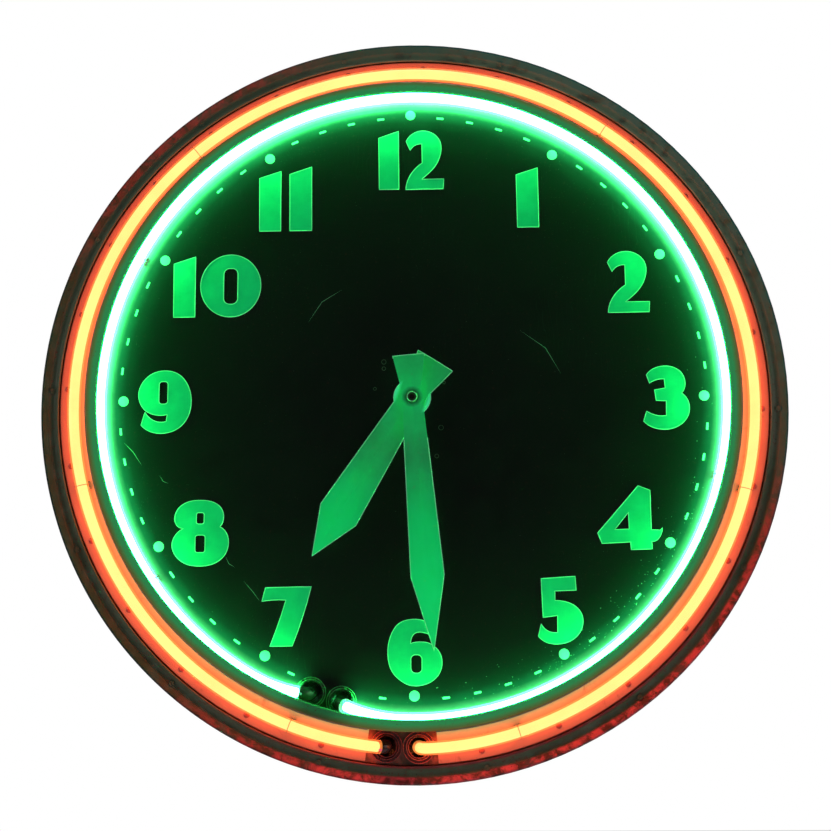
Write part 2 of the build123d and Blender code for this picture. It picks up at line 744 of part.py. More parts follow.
# each tube end stands in a porcelain cup that passes back through the pan
for row, circle, flange, ends, floor in zip(
    ("outer", "inner"), CUP_CIRCLES, CUP_FLANGES, (OUTER_ENDS, INNER_ENDS), (PAN_TOP, DIAL_HEIGHT)
):
    for side, end in zip(("left", "right"), ends):
        spot = around(circle, end)
        with BuildPart() as electrode_cup:
            with BuildSketch(front(CUP_BACK)):
                with Locations(spot):
                    Circle(CUP_BODY)
            extrude(amount=floor - CUP_BACK)
            with BuildSketch(front(floor)):
                with Locations(spot):
                    Circle(flange)
            extrude(amount=2)
            with BuildSketch(front(CUP_BACK + 4)):
                with Locations(spot):
                    Circle(CUP_BORE)
            extrude(amount=floor, mode=Mode.SUBTRACT)
            with BuildSketch(front(floor - 1)):
                with Locations(spot):
                    Circle(CUP_SEAT)
            extrude(amount=4, mode=Mode.SUBTRACT)
        electrode_cup.part.label = f"{row}_cup_{side}"
        export_step(electrode_cup.part, f"parts/{row}_cup_{side}.step")


def supports(turns, circle, floor, height, radius):
    """Saddles under a tube, each with a slot for its tie wire."""
    with BuildPart() as saddles:
        for turn in turns:
            middle = (0, circle)
            with BuildSketch(front(floor, turn)):
                with Locations(middle):
                    RectangleRounded(8, 9.5, 1)
            extrude(amount=height - 3.6 - floor)
        for turn in turns:
            middle = (0, circle)
            with BuildSketch(Plane(origin=place(circle, turn, height), z_dir=place(1, turn + 90, 0))):
                Circle(radius + 0.05)
            extrude(amount=6, both=True, mode=Mode.SUBTRACT)
            with BuildSketch(front(height - radius - 1.3, turn)):
                with Locations(middle):
                    Rectangle(1.6, 12)
            extrude(amount=8, mode=Mode.SUBTRACT)
    return saddles.part


def ties(turns, circle, height, radius, wire):
    """A wire loop round the tube at each saddle."""
    with BuildPart() as loops:
        for turn in turns:
            centre = place(circle, turn, height)
            with Locations(Plane(origin=centre, z_dir=place(1, turn + 90, 0))):
                Torus(radius + wire + 0.05, wire)
    return loops.part


with BuildPart() as tube_saddles:
    add(supports(OUTER_SUPPORTS, OUTER_TUBE_CIRCLE, LINER_TOP, OUTER_TUBE_HEIGHT, OUTER_TUBE_RADIUS))
    add(supports(INNER_SUPPORTS, INNER_TUBE_CIRCLE, DIAL_HEIGHT, INNER_TUBE_HEIGHT, INNER_TUBE_RADIUS))
tube_saddles.part.label = "tube_saddles"
export_step(tube_saddles.part, "parts/tube_saddles.step")

with BuildPart() as tie_wires:
    add(ties(OUTER_SUPPORTS, OUTER_TUBE_CIRCLE, OUTER_TUBE_HEIGHT, OUTER_TUBE_RADIUS, TIE_WIRE))
    add(ties(INNER_SUPPORTS, INNER_TUBE_CIRCLE, INNER_TUBE_HEIGHT, INNER_TUBE_RADIUS, TIE_WIRE))
tie_wires.part.label = "tie_wires"
export_step(tie_wires.part, "parts/tie_wires.step")

# ---- transformer ----
TRANSFORMER_Z = -162.0
TRANSFORMER_BASE = 8.0
TRANSFORMER_TOP = 96.0
BUSHING_HEIGHT = 50.0
with BuildPart() as transformer_case:
    with BuildSketch(front(TRANSFORMER_BASE)):
        with Locations((0, TRANSFORMER_Z)):
            RectangleRounded(190, 100, 8)
    extrude(amount=TRANSFORMER_TOP - TRANSFORMER_BASE)
    with BuildSketch(front(TRANSFORMER_BASE + 1.5)):
        with Locations((0, TRANSFORMER_Z)):
            RectangleRounded(187, 97, 6.5)
    extrude(amount=100, mode=Mode.SUBTRACT)
    with BuildSketch(Plane(origin=at(0, BUSHING_HEIGHT, TRANSFORMER_Z), z_dir=(1, 0, 0))):
        Circle(8)
    extrude(amount=100, both=True, mode=Mode.SUBTRACT)
transformer_case.part.label = "transformer_case"
export_step(transformer_case.part, "parts/transformer_case.step")

with BuildPart() as transformer_lid:
    with BuildSketch(front(TRANSFORMER_TOP)):
        with Locations((0, TRANSFORMER_Z)):
            RectangleRounded(194, 104, 9)
    extrude(amount=2)
transformer_lid.part.label = "transformer_lid"
export_step(transformer_lid.part, "parts/transformer_lid.step")

with BuildPart() as transformer_feet:
    with BuildSketch(front(SHEET)):
        with Locations((-70, TRANSFORMER_Z), (70, TRANSFORMER_Z)):
            RectangleRounded(20, 130, 3)
    extrude(amount=TRANSFORMER_BASE - SHEET)
transformer_feet.part.label = "transformer_feet"
export_step(transformer_feet.part, "parts/transformer_feet.step")

with BuildPart() as transformer_bolts:
    with BuildSketch(front(TRANSFORMER_BASE)):
        with Locations((0, TRANSFORMER_Z)):
            with GridLocations(140, 116, 2, 2):
                RegularPolygon(4.6, 6)
    extrude(amount=3.5)
transformer_bolts.part.label = "transformer_bolts"
export_step(transformer_bolts.part, "parts/transformer_bolts.step")

CORE_BASE = 30.0
CORE_DEPTH = 44.0
with BuildPart() as transformer_core:
    with BuildSketch(front(CORE_BASE)):
        with Locations((0, TRANSFORMER_Z)):
            Rectangle(140, 76)
            with GridLocations(72, 0, 2, 1):
                Rectangle(34, 44, mode=Mode.SUBTRACT)
    extrude(amount=CORE_DEPTH)
transformer_core.part.label = "transformer_core"
export_step(transformer_core.part, "parts/transformer_core.step")

with BuildPart() as transformer_coil:
    with BuildSketch(Plane(origin=at(0, CORE_BASE + CORE_DEPTH / 2, TRANSFORMER_Z), z_dir=(0, 0, 1))):
        RectangleRounded(100, 68, 8)
        Rectangle(38.4, CORE_DEPTH + 0.4, mode=Mode.SUBTRACT)
    extrude(amount=21.5, both=True)
transformer_coil.part.label = "transformer_coil"
export_step(transformer_coil.part, "parts/transformer_coil.step")

# porcelain bushings at both ends, each with three sheds
with BuildPart() as high_tension_bushings:
    for way in (-1, 1):
        for start, length, radius in ((88, 7, 7.9), (95, 30, 9), (97, 3, 13), (105, 3, 13), (113, 3, 13)):
            with BuildSketch(Plane(origin=at(way * start, BUSHING_HEIGHT, TRANSFORMER_Z), z_dir=(way, 0, 0))):
                Circle(radius)
            extrude(amount=length)
high_tension_bushings.part.label = "high_tension_bushings"
export_step(high_tension_bushings.part, "parts/high_tension_bushings.step")


def cup_end(row, side, height):
    circle, end = CUP_CIRCLES[row], (OUTER_ENDS, INNER_ENDS)[row][side]
    return place(circle, end, height)


with BuildPart() as high_tension_lead_left:
    add(
        cable(
            [
                at(-125, BUSHING_HEIGHT, TRANSFORMER_Z),
                at(-150, BUSHING_HEIGHT, TRANSFORMER_Z),
                at(-160, 46, -205),
                at(-126, 40, -246),
                cup_end(1, 0, 46),
                cup_end(1, 0, CUP_BACK),
            ],
            LEAD_RADIUS,
        )
    )
high_tension_lead_left.part.label = "high_tension_lead_left"
export_step(high_tension_lead_left.part, "parts/high_tension_lead_left.step")

with BuildPart() as high_tension_lead_right:
    add(
        cable(
            [
                at(125, BUSHING_HEIGHT, TRANSFORMER_Z),
                at(152, BUSHING_HEIGHT, TRANSFORMER_Z),
                at(160, 46, -208),
                at(122, 40, -256),
                at(64, 38, -286),
                cup_end(0, 1, 44),
                cup_end(0, 1, CUP_BACK),
            ],
            LEAD_RADIUS,
        )
    )
high_tension_lead_right.part.label = "high_tension_lead_right"
export_step(high_tension_lead_right.part, "parts/high_tension_lead_right.step")

with BuildPart() as series_lead:
    add(
        cable(
            [
                cup_end(0, 0, CUP_BACK),
                cup_end(0, 0, 58),
                at(-46, 46, -282),
                cup_end(1, 1, 58),
                cup_end(1, 1, CUP_BACK),
            ],
            LEAD_RADIUS,
        )
    )
series_lead.part.label = "series_lead"
export_step(series_lead.part, "parts/series_lead.step")

# ---- supply: cord gland, terminal block and the two supply leads ----
BLOCK_X = 180.0
BLOCK_Z = -172.0
with BuildPart() as cord_gland:
    for start, length, radius in ((302, 10.5, 9.7), (312.2, 3.5, 13), (315.7, 11, 8.5)):
        with BuildSketch(outward(start, GLAND_TURN, GLAND_HEIGHT)):
            Circle(radius)
        extrude(amount=length)
    with BuildSketch(outward(300, GLAND_TURN, GLAND_HEIGHT)):
        Circle(GLAND_BORE)
    extrude(amount=30, mode=Mode.SUBTRACT)
cord_gland.part.label = "cord_gland"
export_step(cord_gland.part, "parts/cord_gland.step")

with BuildPart() as gland_nut:
    with BuildSketch(outward(306, GLAND_TURN, GLAND_HEIGHT)):
        RegularPolygon(14.5, 6)
        Circle(9.7, mode=Mode.SUBTRACT)
    extrude(amount=4.3)
gland_nut.part.label = "gland_nut"
export_step(gland_nut.part, "parts/gland_nut.step")

with BuildPart() as terminal_block:
    with BuildSketch(front(SHEET)):
        with Locations((BLOCK_X, BLOCK_Z)):
            RectangleRounded(44, 22, 2)
    extrude(amount=12)
    with BuildSketch(front(SHEET + 12)):
        with Locations((BLOCK_X, BLOCK_Z)):
            with GridLocations(14, 0, 3, 1):
                Rectangle(10, 18)
    extrude(amount=4)
terminal_block.part.label = "terminal_block"
export_step(terminal_block.part, "parts/terminal_block.step")

MOTOR_Z = GEAR_CENTRES
MOTOR_RADIUS = 23.0
with BuildPart() as supply_leads:
    add(
        cable(
            [
                at(BLOCK_X - 14, SHEET + 16, BLOCK_Z),
                at(BLOCK_X - 14, 30, BLOCK_Z),
                at(156, 29, -214),
                at(118, 30, -238),
                at(70, 40, -236),
                at(70, 40, -212),
            ],
            WIRE_RADIUS,
        )
    )
    add(
        cable(
            [
                at(BLOCK_X + 14, SHEET + 16, BLOCK_Z),
                at(BLOCK_X + 14, 40, BLOCK_Z),
                at(200, 66, -158),
                at(184, 84, -112),
                at(152, 94, -66),
                at(108, 97, -30),
                at(68, 95, MOTOR_Z - 68 * tan(radians(30))),
                at((MOTOR_RADIUS + 0.1) * cos(radians(30)), 95, MOTOR_Z - (MOTOR_RADIUS + 0.1) / 2),
            ],
            WIRE_RADIUS,
        )
    )
supply_leads.part.label = "supply_leads"
export_step(supply_leads.part, "parts/supply_leads.step")

# ---- movement ----
PILLARS = ((-36, -40), (36, -40), (-36, 48), (36, 48))
STUD_RADIUS = 1.5
MOTOR_SHAFT = 1.5


def movement_plate(height, centre_hole):
    with BuildPart() as plate:
        with BuildSketch(front(height)):
            with Locations((0, 4)):
                RectangleRounded(84, 100, 6)
            Circle(centre_hole, mode=Mode.SUBTRACT)
            with Locations((0, -GEAR_CENTRES)):
                Circle(STUD_RADIUS, mode=Mode.SUBTRACT)
            with Locations((0, GEAR_CENTRES)):
                Circle(4, mode=Mode.SUBTRACT)
        extrude(amount=PLATE)
    return plate.part


with BuildPart() as movement_front_plate:
    add(movement_plate(FRONT_PLATE, BUSHING_RADIUS))
movement_front_plate.part.label = "movement_front_plate"
export_step(movement_front_plate.part, "parts/movement_front_plate.step")

with BuildPart() as movement_back_plate:
    add(movement_plate(BACK_PLATE, 1.2 + RUNNING))
movement_back_plate.part.label = "movement_back_plate"
export_step(movement_back_plate.part, "parts/movement_back_plate.step")

with BuildPart() as movement_pillars:
    with BuildSketch(front(BACK_PLATE + PLATE)):
        with Locations(*PILLARS):
            Circle(3)
    extrude(amount=FRONT_PLATE - BACK_PLATE - PLATE)
movement_pillars.part.label = "movement_pillars"
export_step(movement_pillars.part, "parts/movement_pillars.step")

with BuildPart() as motion_stud:
    with BuildSketch(front(BACK_PLATE - 1)):
        with Locations((0, -GEAR_CENTRES)):
            Circle(STUD_RADIUS)
    extrude(amount=FRONT_PLATE + PLATE - BACK_PLATE + 1)
motion_stud.part.label = "motion_stud"
export_step(motion_stud.part, "parts/motion_stud.step")

MOTOR_BACK = 82.0
with BuildPart() as motor_body:
    with BuildSketch(front(MOTOR_BACK)):
        with Locations((0, MOTOR_Z)):
            Circle(MOTOR_RADIUS)
    extrude(amount=BACK_PLATE - MOTOR_BACK)
    fillet(motor_body.edges().group_by(Axis.Y)[-1], 3)
    with BuildSketch(front(98)):
        with Locations((0, MOTOR_Z)):
            Circle(MOTOR_SHAFT + RUNNING)
    extrude(amount=20, mode=Mode.SUBTRACT)
motor_body.part.label = "motor_body"
export_step(motor_body.part, "parts/motor_body.step")

with BuildPart() as motor_laminations:
    with BuildSketch(front(90)):
        with Locations((0, 47)):
            Rectangle(52, 46)
        with Locations((0, MOTOR_Z)):
            Circle(MOTOR_RADIUS, mode=Mode.SUBTRACT)
        with Locations((0, 50)):
            Rectangle(32, 20, mode=Mode.SUBTRACT)
    extrude(amount=10)
motor_laminations.part.label = "motor_laminations"
export_step(motor_laminations.part, "parts/motor_laminations.step")

with BuildPart() as motor_coil:
    with BuildSketch(Plane(origin=at(0, 95, 65), x_dir=(0, 0, 1), z_dir=(1, 0, 0))):
        RectangleRounded(22, 22, 4)
        Rectangle(10, 10, mode=Mode.SUBTRACT)
    extrude(amount=14, both=True)
motor_coil.part.label = "motor_coil"
export_step(motor_coil.part, "parts/motor_coil.step")

with BuildPart() as centre_bushing:
    bore = PIPE_RADIUS + RUNNING
    revolve(
        section(
            (bore, FRONT_PLATE),
            (BUSHING_RADIUS, FRONT_PLATE),
            (BUSHING_RADIUS, FRONT_PLATE + PLATE),
            (9, FRONT_PLATE + PLATE),
            (9, SEAT_TOP),
            (BUSHING_RADIUS, SEAT_TOP),
            (BUSHING_RADIUS, DIAL_HEIGHT + 4.2),
            (bore, DIAL_HEIGHT + 4.2),
        ),
        axis=Axis.Y,
    )
centre_bushing.part.label = "centre_bushing"
export_step(centre_bushing.part, "parts/centre_bushing.step")

with BuildPart() as bushing_nut:
    with BuildSketch(front(DIAL_HEIGHT)):
        RegularPolygon(9.2, 6)
        Circle(BUSHING_RADIUS, mode=Mode.SUBTRACT)
    extrude(amount=2.6)
bushing_nut.part.label = "bushing_nut"
export_step(bushing_nut.part, "parts/bushing_nut.step")


def gear(height, thickness, teeth, module, tooth_at, bore, centre=(0, 0)):
    with BuildPart() as wheel:
        with BuildSketch(front(height)):
            with Locations(centre):
                add(gear_face(teeth, module, tooth_at))
                Circle(bore, mode=Mode.SUBTRACT)
        extrude(amount=thickness)
    return wheel.part


# the motor pinion drives the centre wheel, and the cannon pinion drives the hour wheel through the motion
# wheel and pinion: each tooth that points at its mate meets a gap
with BuildPart() as centre_wheel:
    add(gear(123, 2, 48, 0.8, 90, ARBOR_RADIUS))
centre_wheel.part.label = "centre_wheel"
export_step(centre_wheel.part, "parts/centre_wheel.step")

with BuildPart() as cannon_pinion:
    add(gear(131.5, 3, 16, 0.75, -90, ARBOR_RADIUS))
cannon_pinion.part.label = "cannon_pinion"
export_step(cannon_pinion.part, "parts/cannon_pinion.step")

with BuildPart() as clutch_spring:
    revolve(section((ARBOR_RADIUS, 125.3), (7.5, 126.8), (7.5, 127.4), (ARBOR_RADIUS, 125.9)), axis=Axis.Y)
clutch_spring.part.label = "clutch_spring"
export_step(clutch_spring.part, "parts/clutch_spring.step")

with BuildPart() as motion_wheel:
    add(gear(132, 2, 48, 0.75, 90 + 180 / 48, STUD_RADIUS + RUNNING, (0, -GEAR_CENTRES)))
    add(gear(134, 5, 12, 0.8, 90, STUD_RADIUS + RUNNING, (0, -GEAR_CENTRES)))
motion_wheel.part.label = "motion_wheel"
export_step(motion_wheel.part, "parts/motion_wheel.step")

with BuildPart() as hour_wheel:
    add(gear(136.5, 2, 48, 0.8, -90 + 180 / 48, ARBOR_RADIUS + RUNNING))
    with BuildSketch(front(136.5)):
        Circle(PIPE_RADIUS)
        Circle(ARBOR_RADIUS + RUNNING, mode=Mode.SUBTRACT)
    extrude(amount=DIAL_HEIGHT + 8.2 - 136.5)
hour_wheel.part.label = "hour_wheel"
export_step(hour_wheel.part, "parts/hour_wheel.step")

with BuildPart() as motor_pinion:
    add(gear(121, 6, 12, 0.8, -90 + 180 / 12, MOTOR_SHAFT, (0, GEAR_CENTRES)))
    with BuildSketch(front(100)):
        with Locations((0, GEAR_CENTRES)):
            Circle(MOTOR_SHAFT)
    extrude(amount=28)
motor_pinion.part.label = "motor_pinion"
export_step(motor_pinion.part, "parts/motor_pinion.step")

with BuildPart() as minute_arbor:
    revolve(
        section(
            (0, BACK_PLATE + 0.3),
            (1.2, BACK_PLATE + 0.3),
            (1.2, BACK_PLATE + PLATE + 0.6),
            (ARBOR_RADIUS, BACK_PLATE + PLATE + 0.6),
            (ARBOR_RADIUS, MINUTE_HEIGHT + 2.6),
            (0, MINUTE_HEIGHT + 2.6),
        ),
        axis=Axis.Y,
    )
minute_arbor.part.label = "minute_arbor"
export_step(minute_arbor.part, "parts/minute_arbor.step")


# ---- hands ----
def creased_hand(height, turn, blade, boss, seat, hole):
    """A sheet hand with a crease along its middle, a boss round its hole and a flat seat for the nut."""
    with BuildPart() as hand:
        with BuildSketch(front(height - 1, turn)):
            with BuildLine():
                Polyline(*blade, *[(-x, y) for x, y in reversed(blade) if x])
                Line((-blade[0][0], blade[0][1]), blade[0])
            make_face()
        extrude(amount=6)
        roof = front(height, turn)
        heel = roof.from_local_coords((0, -60, 0))
        with BuildSketch(Plane(origin=heel, x_dir=roof.x_dir, z_dir=roof.y_dir)):
            with BuildLine():
                Polyline(
                    (-24, 0),
                    (0, -CREASE),
                    (24, 0),
                    (24, -HAND_SHEET),
                    (0, -CREASE - HAND_SHEET),
                    (-24, -HAND_SHEET),
                    close=True,
                )
            make_face()
        extrude(amount=300, mode=Mode.INTERSECT)
        with BuildSketch(front(height)):
            Circle(boss)
        extrude(amount=HAND_SHEET)
        with BuildSketch(front(height + HAND_SHEET)):
            Circle(seat)
        extrude(amount=6, mode=Mode.SUBTRACT)
        with BuildSketch(front(height - 1)):
            Circle(hole)
        extrude(amount=6, mode=Mode.SUBTRACT)
    return hand.part


HOUR_BLADE = [(17.8, -38.4), (11.4, -10), (11.4, 10), (18.0, 120.3), (0, 162.3)]
MINUTE_BLADE = [(14.0, -37.2), (9.2, -9), (9.2, 9), (14.3, 155.0), (0, 218.0)]
with BuildPart() as hour_hand:
    add(creased_hand(HOUR_HEIGHT, HOUR_TURN, HOUR_BLADE, 16.2, 7.2, 5))
hour_hand.part.label = "hour_hand"
export_step(hour_hand.part, "parts/hour_hand.step")

with BuildPart() as hour_hub:
    revolve(
        section(
            (PIPE_RADIUS, HOUR_HEIGHT - 1.4),
            (7.5, HOUR_HEIGHT - 1.4),
            (7.5, HOUR_HEIGHT),
            (5, HOUR_HEIGHT),
            (5, HOUR_HEIGHT + 1.3),
            (PIPE_RADIUS, HOUR_HEIGHT + 1.3),
        ),
        axis=Axis.Y,
    )
hour_hub.part.label = "hour_hub"
export_step(hour_hub.part, "parts/hour_hub.step")

with BuildPart() as minute_hand:
    add(creased_hand(MINUTE_HEIGHT, MINUTE_TURN, MINUTE_BLADE, 10.4, 5.2, 4))
minute_hand.part.label = "minute_hand"
export_step(minute_hand.part, "parts/minute_hand.step")

with BuildPart() as minute_hub:
    revolve(
        section(
            (ARBOR_RADIUS, MINUTE_HEIGHT - 1.0),
            (6.5, MINUTE_HEIGHT - 1.0),
            (6.5, MINUTE_HEIGHT),
            (4, MINUTE_HEIGHT),
            (4, MINUTE_HEIGHT + HAND_SHEET),
            (ARBOR_RADIUS, MINUTE_HEIGHT + HAND_SHEET),
        ),
        axis=Axis.Y,
    )
minute_hub.part.label = "minute_hub"
export_step(minute_hub.part, "parts/minute_hub.step")

NUT_BASE = MINUTE_HEIGHT + HAND_SHEET
with BuildPart() as hand_nut:
    revolve(
        section(
            (ARBOR_RADIUS, NUT_BASE),
            (4.8, NUT_BASE),
            (4.8, NUT_BASE + 2.5),
            (4.4, NUT_BASE + 3.0),
            (3.4, NUT_BASE + 3.0),
            (3.2, NUT_BASE + 1.3),
            (ARBOR_RADIUS, NUT_BASE + 1.3),
        ),
        axis=Axis.Y,
    )
    with BuildSketch(front(NUT_BASE + 1.4)):
        with PolarLocations(4.9, 24):
            Rectangle(0.5, 0.5)
    extrude(amount=2, mode=Mode.SUBTRACT)
hand_nut.part.label = "hand_nut"
export_step(hand_nut.part, "parts/hand_nut.step")
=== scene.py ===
"""Looks of the service station advertising clock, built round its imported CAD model.

Row frame, in metres: the wall is the plane Y = 0, +Z is up and the dial faces -Y. Heights are distances in
front of the wall, turns are degrees clockwise from twelve, and radii are from the hands' axis.
"""

import math
import random

import bpy
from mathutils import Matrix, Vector


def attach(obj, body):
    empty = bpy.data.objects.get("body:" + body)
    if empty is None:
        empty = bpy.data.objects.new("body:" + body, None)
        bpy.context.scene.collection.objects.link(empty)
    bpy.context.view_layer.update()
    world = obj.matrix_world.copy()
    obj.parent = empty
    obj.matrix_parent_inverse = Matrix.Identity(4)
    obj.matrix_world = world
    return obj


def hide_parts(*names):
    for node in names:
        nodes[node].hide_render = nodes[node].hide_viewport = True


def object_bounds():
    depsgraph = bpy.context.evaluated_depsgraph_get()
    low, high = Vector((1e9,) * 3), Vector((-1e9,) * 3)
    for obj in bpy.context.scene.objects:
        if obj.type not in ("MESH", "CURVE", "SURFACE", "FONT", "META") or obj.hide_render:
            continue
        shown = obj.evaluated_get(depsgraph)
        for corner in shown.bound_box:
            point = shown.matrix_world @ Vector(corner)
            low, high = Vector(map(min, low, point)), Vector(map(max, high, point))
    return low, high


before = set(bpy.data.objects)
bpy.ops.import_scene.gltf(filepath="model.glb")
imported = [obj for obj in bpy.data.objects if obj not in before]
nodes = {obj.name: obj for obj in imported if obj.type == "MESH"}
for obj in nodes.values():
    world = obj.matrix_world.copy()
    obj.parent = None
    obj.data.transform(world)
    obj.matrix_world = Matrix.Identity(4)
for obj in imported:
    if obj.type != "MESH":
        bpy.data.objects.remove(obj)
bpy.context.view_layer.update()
MM = 0.001
GAP_TURN = 197.0  # middle of the inner tube's gap

# ---- camera, world and lights ----
CAMERA_PLACE = (0.02194, -1.12249, -0.14558)
CAMERA_TURN = (97.6415, 0.4195, 1.1917)
LENS = 48.38
SENSOR = 36.0

camera_data = bpy.data.cameras.new("camera")
camera_data.lens = LENS
camera_data.sensor_width = SENSOR
camera_data.clip_start = 0.01
camera_data.clip_end = 100.0
camera = bpy.data.objects.new("camera", camera_data)
camera.location = CAMERA_PLACE
camera.rotation_euler = [math.radians(a) for a in CAMERA_TURN]
bpy.context.scene.collection.objects.link(camera)
bpy.context.scene.camera = camera
bpy.context.scene.view_settings.view_transform = "Standard"

BACKGROUND = (1.0, 1.0, 1.0, 1.0)
ROOM = (0.92, 0.97, 1.0, 1.0)
ROOM_LIGHT = 0.035

world = bpy.data.worlds.new("studio")
world.use_nodes = True
bpy.context.scene.world = world
tree = world.node_tree
rays = tree.nodes.new("ShaderNodeLightPath")
seen = tree.nodes.new("ShaderNodeBackground")
seen.inputs["Color"].default_value = BACKGROUND
room = tree.nodes["Background"]
room.inputs["Color"].default_value = ROOM
room.inputs["Strength"].default_value = ROOM_LIGHT
either = tree.nodes.new("ShaderNodeMixShader")
tree.links.new(rays.outputs["Is Camera Ray"], either.inputs["Fac"])
tree.links.new(room.outputs["Background"], either.inputs[1])
tree.links.new(seen.outputs["Background"], either.inputs[2])
tree.links.new(either.outputs["Shader"], tree.nodes["World Output"].inputs["Surface"])


def soft_light(name, place, size, power, colour):
    """A round soft light that faces the clock."""
    data = bpy.data.lights.new(name, "AREA")
    data.shape = "DISK"
    data.size = size
    data.energy = power
    data.color = colour
    light = bpy.data.objects.new(name, data)
    light.location = place
    light.rotation_euler = (-Vector(place)).to_track_quat("-Z", "Y").to_euler()
    bpy.context.scene.collection.objects.link(light)


soft_light("back_left", (-1.6, 1.3, 0.9), 1.4, 26, (1.0, 0.98, 0.95))
soft_light("back_right", (1.7, 1.4, 0.3), 1.4, 20, (0.95, 0.98, 1.0))
soft_light("overhead", (0, 0.1, 1.9), 1.6, 14, (1.0, 1.0, 1.0))
soft_light("side_left", (-2.4, -0.7, 0.6), 1.2, 12, (1.0, 0.98, 0.95))
soft_light("side_right", (2.4, -0.7, 0.4), 1.2, 10, (1.0, 0.98, 0.95))


def mesh_object(name, verts, faces, smooth=True, sharp=80.0):
    """A mesh piece in the row frame, smooth except at edges sharper than the given degrees."""
    mesh = bpy.data.meshes.new(name)
    mesh.from_pydata([tuple(v) for v in verts], [], faces)
    mesh.validate()
    mesh.update()
    if smooth:
        mesh.shade_smooth()
        mesh.set_sharp_from_angle(angle=math.radians(sharp))
    piece = bpy.data.objects.new(name, mesh)
    bpy.context.scene.collection.objects.link(piece)
    return piece


# ---- procedural materials ----
class Finish:
    """A material of one Principled shader, with helpers for the nodes that feed it."""

    def __init__(self, name, **sockets):
        self.material = bpy.data.materials.new(name)
        self.material.use_nodes = True
        self.tree = self.material.node_tree
        self.shader = self.tree.nodes["Principled BSDF"]
        for socket, value in sockets.items():
            self.shader.inputs[socket.replace("_", " ")].default_value = value
        self.place = self.tree.nodes.new("ShaderNodeTexCoord").outputs["Object"]

    def node(self, kind, inputs, **settings):
        made = self.tree.nodes.new("ShaderNode" + kind)
        for name, value in settings.items():
            setattr(made, name, value)
        for key, value in inputs.items():
            if isinstance(value, bpy.types.NodeSocket):
                self.tree.links.new(value, made.inputs[key])
            elif value is not None:
                made.inputs[key].default_value = value
        return made

    def feed(self, socket, source):
        self.tree.links.new(source, self.shader.inputs[socket])

    def stretched(self, x, y, z):
        return self.node("Mapping", {"Vector": self.place, "Scale": (x, y, z)}).outputs["Vector"]

    def noise(self, scale, detail=3.0, rough=0.55, twist=0.0, vector=None):
        inputs = {"Vector": vector or self.place, "Scale": scale, "Detail": detail, "Roughness": rough}
        inputs["Distortion"] = twist
        return self.node("TexNoise", inputs).outputs["Fac"]

    def cells(self, scale):
        return self.node("TexVoronoi", {"Vector": self.place, "Scale": scale}).outputs["Distance"]

    def ramp(self, source, *stops):
        """Maps a value through stops of (place, number or colour)."""
        made = self.node("ValToRGB", {"Fac": source})
        line = made.color_ramp
        while len(line.elements) < len(stops):
            line.elements.new(0.5)
        for element, (place, value) in zip(line.elements, stops):
            element.position = place
            grey = isinstance(value, (int, float))
            element.color = (value, value, value, 1) if grey else (*value, 1)
        return made.outputs["Color"]

    def maths(self, operation, first, second=None):
        return self.node("Math", {0: first, 1: second}, operation=operation).outputs["Value"]

    def times(self, first, second):
        return self.maths("MULTIPLY", first, second)

    def plus(self, first, second):
        return self.maths("ADD", first, second)

    def less(self, first, second):
        return self.maths("SUBTRACT", first, second)

    def mix(self, share, first, second):
        """Mixes two colours; the share is a number or a socket."""
        made = self.node("Mix", {}, data_type="RGBA")
        for key, value in ((0, share), (6, first), (7, second)):
            if isinstance(value, bpy.types.NodeSocket):
                self.tree.links.new(value, made.inputs[key])
            elif key == 0:
                made.inputs[key].default_value = value
            else:
                made.inputs[key].default_value = (*value, 1)
        return made.outputs[2]

    def span(self, source, low, high, to_low=0.0, to_high=1.0):
        """Maps a value between two limits, clamped, to 0 and 1 or to the two values given."""
        inputs = {"Value": source, "From Min": low, "From Max": high, "To Min": to_low, "To Max": to_high}
        return self.node("MapRange", inputs).outputs["Result"]

    def uneven(self, scale, detail, low, high):
        """A value that drifts between two limits."""
        return self.span(self.noise(scale, detail), 0.3, 0.7, low, high)

    def axes(self):
        parts = self.node("SeparateXYZ", {0: self.place}).outputs
        return parts["X"], parts["Y"], parts["Z"]

    def radius(self):
        x, _, z = self.axes()
        return self.maths("SQRT", self.plus(self.times(x, x), self.times(z, z)))

    def from_gap(self):
        """Angle from the middle of the inner tube's gap, in radians."""
        x, _, z = self.axes()
        turn = self.maths("ARCTAN2", x, z)
        return self.maths("ABSOLUTE", self.less(turn, math.radians(GAP_TURN - 360)))

    def bump(self, height, distance, strength=1.0, under=None):
        inputs = {"Height": height, "Distance": distance, "Strength": strength}
        if under:
            inputs["Normal"] = under
        return self.node("Bump", inputs).outputs["Normal"]


def grubby(finish, colours, scale, roughs, bump_scale, bump_depth, fine=0.0):
    """Colour drift over three stops, uneven roughness and a fine bump, which many finishes here share."""
    drift = finish.noise(scale, 5, 0.6, 0.4)
    finish.feed("Base Color", finish.ramp(drift, *zip((0.3, 0.5, 0.72), colours)))
    finish.feed("Roughness", finish.uneven(scale * 2.3, 4, *roughs))
    normal = finish.bump(finish.noise(bump_scale, 3), bump_depth)
    if fine:
        normal = finish.bump(finish.noise(bump_scale * 7, 2), bump_depth * fine, 1.0, normal)
    finish.feed("Normal", normal)


RIM_FRONT = (-0.1412, -0.1432)  # Y from the skirt to the front face
RIM_SLOPE = (0.3238, 0.3252)  # start of the outer slope
RIM_BRINK = (0.3286, 0.3292)
RIM_CREST = (0.3168, 0.3160)


